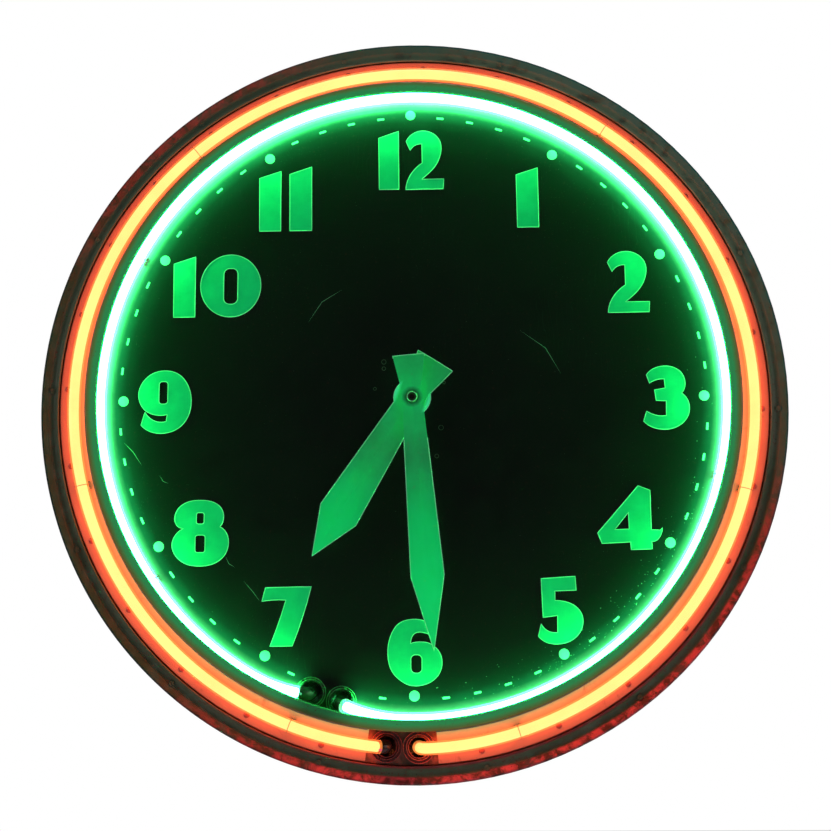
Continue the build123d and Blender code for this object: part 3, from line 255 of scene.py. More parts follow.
def rim_enamel():
    """Satin olive brown enamel specked with rust, dark teal along the outer slope; low down and at the top
    left the slope has a red band, crimson patches of colour under a painted red glow, and a painted red
    highlight runs along the crest low down. A faint painted green glow lies over the upper front, strongest
    at the top right.
    """
    f = Finish("rim_enamel", Specular_IOR_Level=0.2, Coat_Weight=0.04, Coat_Roughness=0.2)
    x, y, z = f.axes()
    ahead = f.span(y, *RIM_FRONT)
    slope = f.times(f.span(f.plus(f.radius(), f.times(f.noise(60, 4, 0.7), 0.0016)), *RIM_SLOPE), ahead)
    low = f.span(f.less(f.times(x, 0.35), z), 0.16, 0.3)
    top_left = f.span(f.less(z, f.times(x, 0.9)), 0.385, 0.43, 0.0, 0.35)
    top_right = f.span(f.plus(f.times(x, 0.7), f.times(z, 0.7)), 0.12, 0.3)
    # low down and at the top left the outer slope carries a painted red glow
    red_glow_zone = f.maths("MAXIMUM", low, top_left)
    blotch = f.span(f.noise(75, 5, 0.7, 0.6), 0.42, 0.56, 0.12, 1.0)
    red_patches_and_glow = f.times(f.times(slope, blotch), red_glow_zone)

    olive = f.ramp(
        f.noise(16, 5, 0.62, 0.5),
        (0.3, (0.09, 0.12, 0.07)), (0.55, (0.15, 0.17, 0.105)), (0.75, (0.2, 0.17, 0.12)),
    )
    olive = f.mix(f.span(f.noise(420, 3, 0.7), 0.56, 0.66), olive, (0.2, 0.09, 0.06))
    plain = f.mix(f.span(f.noise(48, 4, 0.7), 0.45, 0.65), (0.022, 0.12, 0.09), (0.05, 0.12, 0.09))
    colour = f.mix(slope, olive, f.mix(red_glow_zone, plain, (0.04, 0.02, 0.02)))
    # crimson patches of colour there, with a red emission on them: a painted red glow
    colour = f.mix(red_patches_and_glow, colour, (0.3, 0.05, 0.1))
    # a painted red highlight along the crest, low down
    colour = f.mix(f.times(f.span(f.radius(), *RIM_CREST), low), colour, (0.3, 0.06, 0.06))
    colour = f.mix(f.times(f.span(f.radius(), *RIM_BRINK), ahead), colour, (0.02, 0.01, 0.016))
    pits = f.times(f.span(f.cells(260), 0.16, 0.08), f.span(f.noise(40, 3), 0.5, 0.62))
    f.feed("Base Color", f.mix(pits, colour, (0.03, 0.018, 0.012)))

    # a faint painted green glow over the upper front, greener at the top right and teal on the slope there
    rim_glow = f.mix(top_right, (0.008, 0.016, 0.01), (0.03, 0.044, 0.028))
    rim_glow = f.mix(f.span(z, -0.1, 0.2), (0.0, 0.0, 0.0), rim_glow)
    rim_glow = f.mix(slope, rim_glow, f.mix(top_right, (0.0, 0.0, 0.0), (0.004, 0.03, 0.028)))
    rim_glow = f.mix(f.span(f.noise(70, 4, 0.7), 0.5, 0.62), rim_glow, (0.006, 0.01, 0.008))
    f.feed("Emission Color", f.mix(red_patches_and_glow, rim_glow, (0.2, 0.014, 0.012)))
    f.feed("Emission Strength", ahead)
    f.feed("Metallic", f.times(red_patches_and_glow, 0.3))
    f.feed("Roughness", f.uneven(90, 4, 0.26, 0.44))
    dents = f.bump(f.noise(34, 2), 0.0012, 0.35)
    f.feed("Normal", f.bump(f.less(f.noise(900, 2), f.times(pits, 2.0)), 0.00008, 1.0, dents))
    return f.material


LIP_INWARD = (0.2832, 0.2778)  # outer to inner edge of the raised ring
NEAR_GAP = (0.03, 0.13)  # angle over which the tube's light returns beside its gap


def lip_enamel():
    """Dark enamel of the raised ring, dark brown towards its outer edge and painted green towards its inner
    edge as the green tube's light, with a painted glow, orange outward and green inward, dimmer beside the
    tube's gap.
    """
    f = Finish("lip_enamel", Specular_IOR_Level=0.2)
    inward = f.span(f.plus(f.radius(), f.times(f.noise(40, 3), 0.003)), *LIP_INWARD)
    # green towards the inner edge: the green tube's light painted into the colour
    colour = f.mix(inward, (0.08, 0.06, 0.02), (0.05, 0.3, 0.11))
    speck = f.span(f.noise(500, 3, 0.7), 0.6, 0.68)
    f.feed("Base Color", f.mix(speck, colour, (0.1, 0.06, 0.04)))
    # painted glow: orange towards the outer edge, green towards the inner
    f.feed("Emission Color", f.mix(inward, (0.085, 0.045, 0.004), (0.014, 0.15, 0.045)))
    f.feed("Emission Strength", f.span(f.from_gap(), *NEAR_GAP, 0.2, 1.0))
    f.feed("Roughness", f.uneven(120, 4, 0.3, 0.5))
    f.feed("Normal", f.bump(f.noise(700, 3), 0.00006))
    return f.material


def case_enamel():
    """Brown black baked enamel of the can and its hatch, rubbed and dusty."""
    f = Finish("case_enamel", Specular_IOR_Level=0.5, Coat_Weight=0.2, Coat_Roughness=0.25)
    enamel = ((0.035, 0.031, 0.026), (0.055, 0.05, 0.042), (0.085, 0.075, 0.06))
    grubby(f, enamel, 9, (0.34, 0.58), 900, 0.00006, 0.3)
    base = f.shader.inputs["Base Color"].links[0].from_socket
    rub = f.span(f.noise(70, 6, 0.75, 0.8, f.stretched(1, 1, 0.12)), 0.66, 0.72)
    dust = f.span(f.noise(5, 6, 0.7), 0.5, 0.8, 0.0, 0.35)
    colour = f.mix(dust, base, (0.2, 0.19, 0.17))
    f.feed("Base Color", f.mix(rub, colour, (0.22, 0.2, 0.18)))
    return f.material


LINER_TRAY = (0.287, 0.294)  # from the inner wall to the tray's floor
LINER_FLOOR = (0.296, 0.302)  # across the tray's floor
LINER_LIGHT = (0.2858, 0.2842)  # where the inner tube's light ends
# where painted shade darkens the corner at the wall's foot and the shadow gap at the outer edge
LINER_CORNER = (0.2858, 0.2832)
LINER_JOINT = (0.3118, 0.3129)


def liner_cream():
    """Aged cream reflector enamel, stained, with the tubes' light painted into it: tinted green-grey on the
    wall and red-orange in the tray, a painted glow, and painted shade in the corner at the wall's foot and
    along the outer edge.
    """
    f = Finish("liner_cream", Specular_IOR_Level=0.4, Emission_Strength=1.0)
    drift = f.noise(11, 5, 0.6, 0.6)
    # the cream is painted green-grey on the wall and red-orange in the tray: the tubes' light painted into
    # its colour
    wall = f.ramp(drift, (0.28, (0.4, 0.52, 0.42)), (0.5, (0.46, 0.6, 0.48)), (0.75, (0.52, 0.68, 0.54)))
    tray = f.ramp(drift, (0.28, (0.54, 0.2, 0.13)), (0.5, (0.66, 0.26, 0.17)), (0.75, (0.76, 0.33, 0.22)))
    outward = f.span(f.radius(), *LINER_TRAY)
    colour = f.mix(outward, wall, tray)
    # a painted glow, green on the wall and green to red across the tray, ending where the inner tube's light
    # ends
    lit = f.mix(f.span(f.radius(), *LINER_FLOOR), (0.0, 0.06, 0.02), (0.06, 0.02, 0.015))
    lit = f.mix(outward, (0.0, 0.15, 0.05), lit)
    f.feed("Emission Color", f.mix(f.span(f.radius(), *LINER_LIGHT), lit, (0.0, 0.0, 0.0)))
    stain = f.span(f.noise(58, 6, 0.72, 0.9), 0.6, 0.7, 0.0, 0.55)
    colour = f.mix(stain, colour, (0.34, 0.08, 0.05))
    # painted shade: darker in the corner at the wall's foot and in the shadow gap along the outer edge
    corner = f.span(f.radius(), *LINER_CORNER, 0.0, 0.3)
    joint = f.span(f.radius(), *LINER_JOINT, 0.0, 0.5)
    f.feed("Base Color", f.mix(f.plus(corner, joint), colour, (0.14, 0.03, 0.025)))
    f.feed("Roughness", f.uneven(80, 4, 0.38, 0.6))
    f.feed("Normal", f.bump(f.noise(600, 3), 0.00005, 1.0, f.bump(f.noise(26, 2), 0.0009, 0.3)))
    return f.material


def pan_grime():
    """The bare pan in the gap and the gutter: dark, greasy and dusty."""
    f = Finish("pan_grime", Specular_IOR_Level=0.45)
    grubby(f, ((0.07, 0.05, 0.03), (0.26, 0.09, 0.06), (0.6, 0.16, 0.12)), 90, (0.3, 0.65), 500, 0.00012, 0.3)
    return f.material


DIAL_GLOW = (0.225, 0.273)  # span of the painted green glow, from dark dial to the foot of the inner tube
DIAL_GAP = (0.04, 0.1)  # angle over which the painted glow returns beside the tube's gap


def dial_black():
    """Gloss black enamel with a painted green glow near the tube, hairline scratches, dust and rust specks.
    """
    f = Finish("dial_black", Specular_IOR_Level=0.28, Coat_Weight=0.4, Coat_Roughness=0.045, Coat_IOR=1.5)
    drift = f.noise(7, 5, 0.6, 0.5)
    colour = f.ramp(drift, (0.3, (0.001, 0.004, 0.002)), (0.7, (0.002, 0.008, 0.004)))
    speckle = f.span(f.noise(300, 3, 0.7), 0.6, 0.7)
    colour = f.mix(f.times(speckle, 0.4), colour, (0.06, 0.012, 0.01))
    dust = f.times(f.span(f.cells(330), 0.12, 0.05), f.span(f.noise(12, 4), 0.5, 0.6))
    colour = f.mix(f.times(dust, 0.6), colour, (0.05, 0.12, 0.06))
    hair = f.node("TexWave", {"Vector": f.stretched(1, 1, 0.3), "Scale": 70, "Distortion": 14, "Detail": 3})
    hair = f.times(f.span(hair.outputs["Fac"], 0.985, 0.999), f.span(f.noise(9, 4), 0.55, 0.7))
    f.feed("Base Color", f.mix(f.times(hair, 0.2), colour, (0.03, 0.1, 0.05)))
    # painted green glow of the tube on the dial
    dial_glow = f.ramp(
        f.span(f.radius(), *DIAL_GLOW),
        (0.0, (0, 0, 0)), (0.35, (0, 0.004, 0.001)), (0.6, (0, 0.018, 0.005)),
        (0.78, (0, 0.085, 0.028)), (0.9, (0.05, 0.26, 0.1)), (1.0, (0.4, 0.7, 0.45)),
    )
    uneven = f.span(f.noise(35, 5, 0.65), 0.3, 0.7, 0.7, 1.2)
    f.feed("Emission Color", dial_glow)
    f.feed("Emission Strength", f.times(uneven, f.span(f.from_gap(), *DIAL_GAP)))
    f.feed("Roughness", f.uneven(60, 5, 0.38, 0.5))
    f.feed("Normal", f.bump(f.less(f.noise(14, 2), f.times(hair, 0.5)), 0.0004, 0.25))
    return f.material


def screened(name, dark, light, rough=0.5, lit=(0.0, 0.0, 0.0)):
    """Screened paint, thin and slightly mottled, chipped through in pin holes, with a painted glow of the
    colour lit.
    """
    f = Finish(name, Specular_IOR_Level=0.35, Emission_Color=(*lit, 1.0), Emission_Strength=1.0)
    colour = f.ramp(f.noise(55, 5, 0.6), (0.3, dark), (0.7, light))
    pins = f.times(f.span(f.cells(520), 0.07, 0.03), f.span(f.noise(30, 3), 0.56, 0.64))
    f.feed("Base Color", f.mix(pins, colour, (0.02, 0.05, 0.02)))
    f.feed("Roughness", f.uneven(160, 4, rough - 0.08, rough + 0.12))
    f.feed("Normal", f.bump(f.noise(800, 3), 0.00003))
    return f.material


def pale_edge(name):
    """Pale bead along the edge of a painted shape: a painted highlight of the tube's light on that edge, with
    a painted green glow.
    """
    f = Finish(name, Specular_IOR_Level=0.5, Emission_Strength=1.0)
    colour = f.ramp(f.noise(90, 4), (0.3, (0.22, 0.75, 0.45)), (0.7, (0.34, 0.9, 0.6)))
    f.feed("Base Color", colour)
    # painted green glow
    f.feed("Emission Color", f.mix(f.noise(60, 3), (0.015, 0.09, 0.045), (0.04, 0.18, 0.09)))
    f.feed("Roughness", f.uneven(160, 4, 0.4, 0.6))
    return f.material


# radii over which painted shade darkens the hands round the nut
NUT_SHADE = (0.0105, 0.0066)
HAND_LENGTH = (0.01, 0.18)
CRESCENT_ACROSS = (0.0116, 0.0148)  # from the line of the hour hand
CRESCENT_RADIUS = (0.0166, 0.0159)


def hand_paint():
    """Enamel of the hands, a little uneven and rubbed, with painted shade round the nut, a painted glow that
    grows towards the tube, and painted highlights on the crescents of the hour hand's boss.
    """
    f = Finish("hand_paint", Specular_IOR_Level=0.4, Emission_Strength=1.0)
    colour = f.ramp(f.noise(55, 5, 0.6), (0.3, (0.01, 0.8, 0.24)), (0.7, (0.015, 0.95, 0.32)))
    rub = f.span(f.noise(120, 5, 0.7, 0.5), 0.6, 0.72, 0.0, 0.35)
    colour = f.mix(rub, colour, (0.12, 0.6, 0.22))
    # painted shade round the nut, in colour and in glow
    hub_shade = f.span(f.plus(f.radius(), f.times(f.noise(260, 3), 0.002)), *NUT_SHADE, 0.0, 0.85)
    f.feed("Base Color", f.mix(hub_shade, colour, (0.02, 0.2, 0.08)))
    # a painted glow, rising towards the tube
    lit = f.ramp(
        f.span(f.radius(), *HAND_LENGTH),
        (0.0, (0.003, 0.11, 0.02)), (0.25, (0.006, 0.015, 0.0)),
        (0.56, (0, 0.2, 0.03)), (0.95, (0, 0.36, 0.06)),
    )
    x, _, z = f.axes()
    # painted highlights on the two crescents of the hour hand's boss
    across = f.maths("ABSOLUTE", f.less(f.times(x, 0.93), f.times(z, 0.36)))
    crescent = f.times(f.span(across, *CRESCENT_ACROSS), f.span(f.radius(), *CRESCENT_RADIUS))
    lit = f.mix(crescent, lit, (0.03, 0.5, 0.2))
    f.feed("Emission Color", f.mix(hub_shade, lit, (0, 0.01, 0.002)))
    f.feed("Roughness", f.uneven(160, 4, 0.34, 0.54))
    f.feed("Normal", f.bump(f.noise(800, 3), 0.00003))
    return f.material


def metal(name, colours, roughs, scale=60, grain=(1, 1, 1)):
    """Metal with a brushed grain and darker tarnish."""
    f = Finish(name, Metallic=1.0)
    dark, light = colours
    colour = f.ramp(f.noise(scale, 5, 0.65, 0.4), (0.3, dark), (0.7, light))
    tarnish = f.span(f.noise(scale * 0.35, 6, 0.7, 0.8), 0.56, 0.72, 0.0, 0.6)
    f.feed("Base Color", f.mix(tarnish, colour, tuple(c * 0.35 for c in dark)))
    brushed = f.noise(scale * 14, 3, 0.6, 0.0, f.stretched(*grain))
    f.feed("Roughness", f.span(brushed, 0.3, 0.7, *roughs))
    f.feed("Normal", f.bump(brushed, 0.00003))
    return f.material


def glazed(name, colours):
    """Glazed porcelain, soiled in its pits."""
    f = Finish(name, Specular_IOR_Level=0.55, Coat_Weight=0.8, Coat_Roughness=0.06)
    grubby(f, colours, 85, (0.2, 0.4), 240, 0.00012)
    return f.material


def cup_glaze(name, colours):
    """Dark glazed porcelain of the electrode cups, soiled, with softly rounded edges."""
    f = Finish(name, Specular_IOR_Level=0.6, Coat_Weight=1.0, Coat_Roughness=0.08)
    grubby(f, colours, 85, (0.2, 0.35), 240, 0.00012)
    rounded = f.node("Bevel", {"Radius": 0.0007}, samples=6).outputs["Normal"]
    f.feed("Coat Normal", rounded)
    f.feed("Normal", f.bump(f.noise(240, 3), 0.0001, 0.6, rounded))
    return f.material


def glow(name, colour, strength):
    """The lit gas: one colour, a little uneven along the tube."""
    f = Finish(name, Roughness=0.6, Base_Color=(0.0, 0.0, 0.0, 1.0), Emission_Color=(*colour, 1.0))
    f.feed("Emission Strength", f.uneven(22, 3, strength * 0.94, strength * 1.06))
    return f.material


def tube_glass(name, tint, edge_tint, strength):
    """Thin glass over the gas: clear face on, coloured by the gas at its edges."""
    f = Finish(
        name, Roughness=0.04, Specular_IOR_Level=0.6, Base_Color=(*tint, 1.0),
        Emission_Color=(*edge_tint, 1.0), Emission_Strength=strength,
    )
    slant = f.node("LayerWeight", {"Blend": 0.42}).outputs["Facing"]
    film = f.span(f.noise(40, 4), 0.4, 0.7, 0.0, 0.06)
    f.feed("Alpha", f.plus(f.span(slant, 0.25, 0.95, 0.08, 0.72), film))
    f.feed("Normal", f.bump(f.noise(30, 2), 0.0002, 0.2))
    return f.material


def moulded(name, dark, light, roughs=(0.25, 0.45), bump_scale=300, depth=0.00005):
    """Moulded, sprayed or rusty stuff between two colours."""
    f = Finish(name, Specular_IOR_Level=0.5)
    middle = tuple((a + b) / 2 for a, b in zip(dark, light))
    grubby(f, (dark, middle, light), 40, roughs, bump_scale, depth, 0.4)
    return f.material


def taped():
    """Varnished cotton tape wound round a coil."""
    f = Finish("coil_tape", Specular_IOR_Level=0.4, Sheen_Weight=0.2)
    weave = f.node("TexWave", {"Vector": f.place, "Scale": 55, "Distortion": 0.6, "Detail": 2}).outputs["Fac"]
    colour = f.ramp(weave, (0.0, (0.16, 0.1, 0.04)), (0.5, (0.34, 0.23, 0.1)), (1.0, (0.42, 0.3, 0.14)))
    stain = f.span(f.noise(30, 5), 0.5, 0.75, 0.0, 0.5)
    f.feed("Base Color", f.mix(stain, colour, (0.1, 0.06, 0.03)))
    f.feed("Roughness", f.uneven(90, 3, 0.45, 0.7))
    f.feed("Normal", f.bump(weave, 0.0004, 0.7))
    return f.material


def laminated():
    """Varnished stampings: fine lines across the stack."""
    f = Finish("laminations", Metallic=0.7)
    lines = f.node(
        "TexWave", {"Vector": f.place, "Scale": 160, "Distortion": 0.2, "Detail": 1}, bands_direction="Y"
    ).outputs["Fac"]
    f.feed("Base Color", f.ramp(lines, (0.1, (0.05, 0.045, 0.04)), (0.6, (0.24, 0.22, 0.2))))
    f.feed("Roughness", f.uneven(120, 3, 0.35, 0.6))
    f.feed("Normal", f.bump(lines, 0.0003, 0.6))
    return f.material


BLACKOUT = ((0.2, 0.4), 400, 0.0001)  # roughness, bump scale and depth

finishes = {
    "rim": rim_enamel(),
    "lip": lip_enamel(),
    "case": case_enamel(),
    "liner": liner_cream(),
    "pan": pan_grime(),
    "dial": dial_black(),
    # the numerals get a faint painted green glow
    "numerals": screened("numeral_paint", (0.006, 0.5, 0.28), (0.01, 0.62, 0.36), lit=(0.0, 0.06, 0.01)),
    "marks": screened("mark_paint", (0.32, 0.74, 0.38), (0.42, 0.84, 0.46)),
    "outlines": pale_edge("outline_highlight"),
    "specks": screened("dust_specks_painted_lit", (0.12, 0.4, 0.2), (0.3, 0.7, 0.4)),
    "dull_specks": screened("dull_specks", (0.06, 0.12, 0.07), (0.12, 0.2, 0.12)),
    "hands": hand_paint(),
    "edges": pale_edge("hand_edge"),
    "steel": metal("bare_steel", ((0.36, 0.35, 0.33), (0.52, 0.51, 0.49)), (0.28, 0.5), 50, (1, 1, 8)),
    "plated": metal("plated_steel", ((0.42, 0.4, 0.36), (0.58, 0.56, 0.52)), (0.25, 0.45), 90),
    "black_screw": metal("blackened_steel", ((0.05, 0.04, 0.035), (0.1, 0.08, 0.065)), (0.35, 0.6), 140),
    "wire": metal("tie_wire", ((0.35, 0.25, 0.15), (0.5, 0.38, 0.24)), (0.3, 0.5), 200),
    "brass": metal("brass", ((0.62, 0.44, 0.16), (0.78, 0.6, 0.28)), (0.2, 0.4), 70, (1, 1, 6)),
    "nut": metal("hand_nut_brass", ((0.08, 0.22, 0.09), (0.16, 0.34, 0.14)), (0.35, 0.55), 300),
    "nut_edge": pale_edge("nut_edge"),
    "rivet": moulded("rivet_rust", (0.36, 0.06, 0.045), (0.66, 0.12, 0.09), (0.4, 0.6)),
    "porcelain": glazed("porcelain", ((0.55, 0.5, 0.42), (0.7, 0.66, 0.58), (0.8, 0.76, 0.68))),
    # the cups are tinted green beside the green tube and red beside the orange one: painted tube light in
    # their colour
    "cup_green": cup_glaze("cup_green", ((0.004, 0.02, 0.008), (0.008, 0.04, 0.014), (0.02, 0.08, 0.03))),
    # pale beads round the cups: painted highlights of each tube's light on the glazed edges
    "cup_edge_green": glazed("cup_edge_green", ((0.03, 0.12, 0.05), (0.08, 0.32, 0.14), (0.2, 0.5, 0.26))),
    "cup_edge_red": glazed("cup_edge_red", ((0.25, 0.03, 0.03), (0.6, 0.07, 0.07), (0.8, 0.16, 0.14))),
    "cup_red": cup_glaze("cup_red", ((0.03, 0.006, 0.005), (0.08, 0.012, 0.01), (0.18, 0.03, 0.02))),
    "saddle": glazed("saddle_glass", ((0.45, 0.38, 0.3), (0.6, 0.5, 0.4), (0.7, 0.6, 0.5))),
    "hammer": moulded("hammered_grey", (0.08, 0.09, 0.09), (0.17, 0.18, 0.18), (0.3, 0.5), 180, 0.0004),
    "phenolic": moulded("brown_phenolic", (0.03, 0.016, 0.01), (0.07, 0.036, 0.022)),
    "rubber": moulded("lead_rubber", (0.015, 0.015, 0.015), (0.045, 0.043, 0.04), (0.5, 0.75), 500, 0.00008),
    "tape": taped(),
    "laminations": laminated(),
    "orange_gas": glow("orange_gas", (1.0, 0.17, 0.05), 6.2),
    "orange_glass": tube_glass("orange_glass", (0.9, 0.35, 0.1), (1.0, 0.3, 0.06), 0.9),
    "pink_gas": glow("pink_gas", (1.0, 0.12, 0.2), 0.75),
    "pale_gas": glow("pale_gas", (0.15, 1.0, 0.5), 0.55),
    "green_gas": glow("green_gas", (0.035, 1.0, 0.20), 66.0),
    "green_glass": tube_glass("green_glass", (0.4, 0.9, 0.6), (0.32, 1.0, 0.58), 0.9),
    "blackout_orange": moulded("blackout_outer", (0.02, 0.006, 0.005), (0.06, 0.014, 0.012), *BLACKOUT),
    "blackout_green": moulded("blackout_inner", (0.003, 0.02, 0.008), (0.01, 0.05, 0.02), *BLACKOUT),
}

WEAR = {
    "rim": ("rim_ring", "rim_screws"),
    "lip": ("drum_ring",),
    "case": ("case_can", "rear_hatch"),
    "liner": ("trough_liner",),
    "rivet": ("liner_rivets",),
    "pan": ("front_pan",),
    "dial": ("dial_plate",),
    "numerals": ("dial_numerals",),
    "marks": ("minute_marks", "hour_dots"),
    "hands": ("hour_hand", "minute_hand"),
    "steel": ("bolt_doublers", "dial_seat", "transformer_feet", "motor_body", "gland_nut", "tube_electrodes"),
    "plated": (
        "hatch_screws", "dial_screws", "transformer_bolts", "motion_stud", "cannon_pinion", "motor_pinion",
    ),
    "black_screw": ("minute_arbor",),
    "wire": ("tie_wires",),
    "brass": (
        "movement_front_plate", "movement_back_plate", "movement_pillars", "centre_bushing", "bushing_nut",
        "centre_wheel", "clutch_spring", "motion_wheel", "hour_wheel", "hour_hub", "minute_hub",
    ),
    "nut": ("hand_nut",),
    "porcelain": ("high_tension_bushings",),
    "cup_red": ("outer_cup_left", "outer_cup_right"),
    "cup_green": ("inner_cup_left", "inner_cup_right"),
    "saddle": ("tube_saddles",),
    "hammer": ("transformer_case", "transformer_lid"),
    "phenolic": ("cord_gland", "terminal_block"),
    "rubber": ("high_tension_lead_left", "high_tension_lead_right", "series_lead", "supply_leads"),
    "tape": ("transformer_coil", "motor_coil"),
    "laminations": ("transformer_core", "motor_laminations"),
}
for finish, worn_by in WEAR.items():
    for name in worn_by:
        mesh = nodes[name].data
        mesh.materials.clear()
        mesh.materials.append(finishes[finish])


def dress(piece, finish, body):
    """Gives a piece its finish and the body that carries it."""
    piece.data.materials.append(finishes[finish])
    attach(piece, body)
    return piece


# ---- gas tubes ----
TUBE_BEND = 9.0 * MM
LEG_END = 104.0 * MM
VEER_RADIUS = 130.0 * MM
OUTER_CIRCLE = 298.5 * MM
OUTER_ENDS = (184.66, 179.32)
INNER_ENDS = (199.28, 193.43)
PIPE_SIDES = 40
TURN_STEP = 0.9  # degrees
ARC_STEPS = 12
LEG_STEPS = 8
TIP_LENGTH = 3.0 * MM
TIP_STEPS = 6
BLUNT_END = 2.2 * MM
BLUNT_STEPS = 5
BLACKOUT_LAP = 0.6 * MM
BLACKOUT_SKIN = 0.1 * MM


def place(radius, turn, height):
    """A point at a radius, a turn from twelve and a height in front of the wall."""
    a = math.radians(turn)
    return Vector((radius * math.sin(a), -height, radius * math.cos(a)))


def arc(centre, start, ahead, angle, steps):
    """Points after start along an arc about centre that sets off in the direction ahead."""
    spoke = start - centre
    return [
        centre + spoke * math.cos(angle * n / steps) + ahead * spoke.length * math.sin(angle * n / steps)
        for n in range(1, steps + 1)
    ]


def tube_line(circle, height, ends, veer):
    """The centre line of a gas tube: back leg, bend, the long way round, bend, back leg.

    With a veer, that length of the tube turns inward before each bend.
    """
    back = Vector((0, 1, 0))
    halves = []
    for side, end in ((1, ends[0]), (-1, ends[1])):
        leave = end + side * math.degrees((TUBE_BEND + veer) / circle)
        start = place(circle, leave, height)
        inward = -place(1.0, leave, 0.0)
        ahead = place(1.0, leave - side * 90, 0.0)
        points = [start]
        if veer:
            angle = veer / VEER_RADIUS
            points += arc(start + inward * VEER_RADIUS, start, ahead, angle, 2 * ARC_STEPS)
            ahead = ahead * math.cos(angle) + inward * math.sin(angle)
        points += arc(points[-1] + back * TUBE_BEND, points[-1], ahead, math.pi / 2, ARC_STEPS)
        knee = points[-1]
        drop = -LEG_END - knee.y
        points += [Vector((knee.x, knee.y + drop * n / LEG_STEPS, knee.z)) for n in range(1, LEG_STEPS + 1)]
        halves.append((leave, points))
    first, last = halves[0][0], halves[1][0] + 360
    steps = int((last - first) / TURN_STEP)
    round_way = [place(circle, first + (last - first) * n / steps, height) for n in range(1, steps)]
    return halves[0][1][::-1] + round_way + halves[1][1]


def pipe(name, points, radii, caps=True):
    """A round pipe along points, with one radius or one for each point."""
    if isinstance(radii, float):
        radii = [radii] * len(points)
    ahead = (points[1] - points[0]).normalized()
    across = ahead.orthogonal().normalized()
    verts, faces = [], []
    for n, point in enumerate(points):
        before, after = points[max(0, n - 1)], points[min(len(points) - 1, n + 1)]
        new_ahead = (after - before).normalized()
        across = ahead.rotation_difference(new_ahead) @ across
        ahead = new_ahead
        side = ahead.cross(across)
        for k in range(PIPE_SIDES):
            a = 2 * math.pi * k / PIPE_SIDES
            verts.append(point + (across * math.cos(a) + side * math.sin(a)) * radii[n])
    for n in range(len(points) - 1):
        for k in range(PIPE_SIDES):
            a, b = n * PIPE_SIDES + k, n * PIPE_SIDES + (k + 1) % PIPE_SIDES
            faces.append((a, b, b + PIPE_SIDES, a + PIPE_SIDES))
    if caps:
        faces.append(tuple(range(PIPE_SIDES))[::-1])
        faces.append(tuple(range(len(verts) - PIPE_SIDES, len(verts))))
    return mesh_object(name, verts, faces, sharp=50.0)


def length_of(points):
    return sum((b - a).length for a, b in zip(points, points[1:]))


def cut_line(points, first_cut, last_cut):
    """A centre line with the given lengths cut off its two ends."""
    lengths = [0.0]
    for a, b in zip(points, points[1:]):
        lengths.append(lengths[-1] + (b - a).length)
    total = lengths[-1]
    low, high = first_cut, total - last_cut

    def at_length(length):
        for n in range(1, len(points)):
            if lengths[n] >= length:
                share = (length - lengths[n - 1]) / (lengths[n] - lengths[n - 1])
                return points[n - 1].lerp(points[n], share)
        return points[-1]

    inside = [p for p, length in zip(points, lengths) if low + 1e-5 < length < high - 1e-5]
    return [at_length(low), *inside, at_length(high)]


def sealed_tip(name, line, length, shift, size, finish):
    """The pinched end of the lit gas, a small bead beyond the glow."""
    spots = cut_line(line, length, length_of(line) - length - TIP_LENGTH)
    first, last = spots[0] + shift, spots[-1] + shift
    shares = [n / TIP_STEPS for n in range(TIP_STEPS + 1)]
    widths = [size * math.sin(math.pi * (0.12 + 0.76 * share)) for share in shares]
    dress(pipe(name, [first.lerp(last, share) for share in shares], widths), finish, "case")


def rounded_ends(points, radius):
    """Points and radii of a pipe that closes with blunt round ends."""
    ahead, behind = (points[1] - points[0]).normalized(), (points[-2] - points[-1]).normalized()
    shares = [math.sin(math.pi / 2 * n / BLUNT_STEPS) for n in range(BLUNT_STEPS + 1)]
    first = [points[0] + ahead * (BLUNT_END * share) for share in shares]
    last = [points[-1] + behind * (BLUNT_END * share) for share in shares]
    small = [radius * (0.55 + 0.45 * math.sqrt(1 - (1 - share) ** 2)) for share in shares]
    reach = BLUNT_END * 1.2
    middle = [p for p in points if min((p - points[0]).length, (p - points[-1]).length) > reach]
    return first + middle + last[::-1], small + [radius] * len(middle) + small[::-1]


TUBES = (
    # name, circle, height, radius of the glass and the glow, ends, veer, dark lengths at the two ends
    ("outer", OUTER_CIRCLE, 0.1542, 5.5 * MM, 4.2 * MM, OUTER_ENDS, 0.0, (0.0520, 0.0425)),
    ("inner", 0.2740, 0.1593, 5.75 * MM, 4.0 * MM, INNER_ENDS, 0.045, (0.0605, 0.0550)),
)
tube_lines = {}
for name, circle, height, radius, core, ends, veer, dark in TUBES:
    gas = "orange" if name == "outer" else "green"
    slot_name = gas + "_gas_tube"
    line = tube_lines[name] = tube_line(circle, height, ends, veer)
    glass = pipe(f"{name}_tube_glass", line, radius, caps=False)
    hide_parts(f"{name}_tube")
    dress(glass, gas + "_glass", "case")
    lit, lit_radii = rounded_ends(cut_line(line, *dark), core)
    dress(pipe(f"{name}_tube_gas", lit, lit_radii), gas + "_gas", "case")
    for end, way, length in zip(("first", "last"), (line, line[::-1]), dark):
        covered = cut_line(way, 0.0, length_of(line) - length + BLACKOUT_LAP)
        sleeve = pipe(f"{name}_tube_blackout_{end}", covered, radius + BLACKOUT_SKIN, caps=False)
        dress(sleeve, "blackout_" + gas, "case")

for name, length, shift, size, finish, slot_name in (
    ("outer", 0.0490, (0, -6.0 * MM, -1.5 * MM), 1.2 * MM, "pink_gas", "orange_gas_tube"),
    ("inner", 0.0570, (0, -6.2 * MM, 0.5 * MM), 1.1 * MM, "pale_gas", "green_gas_tube"),
):
    sealed_tip(name + "_tip", tube_lines[name], length, Vector(shift), size, finish)

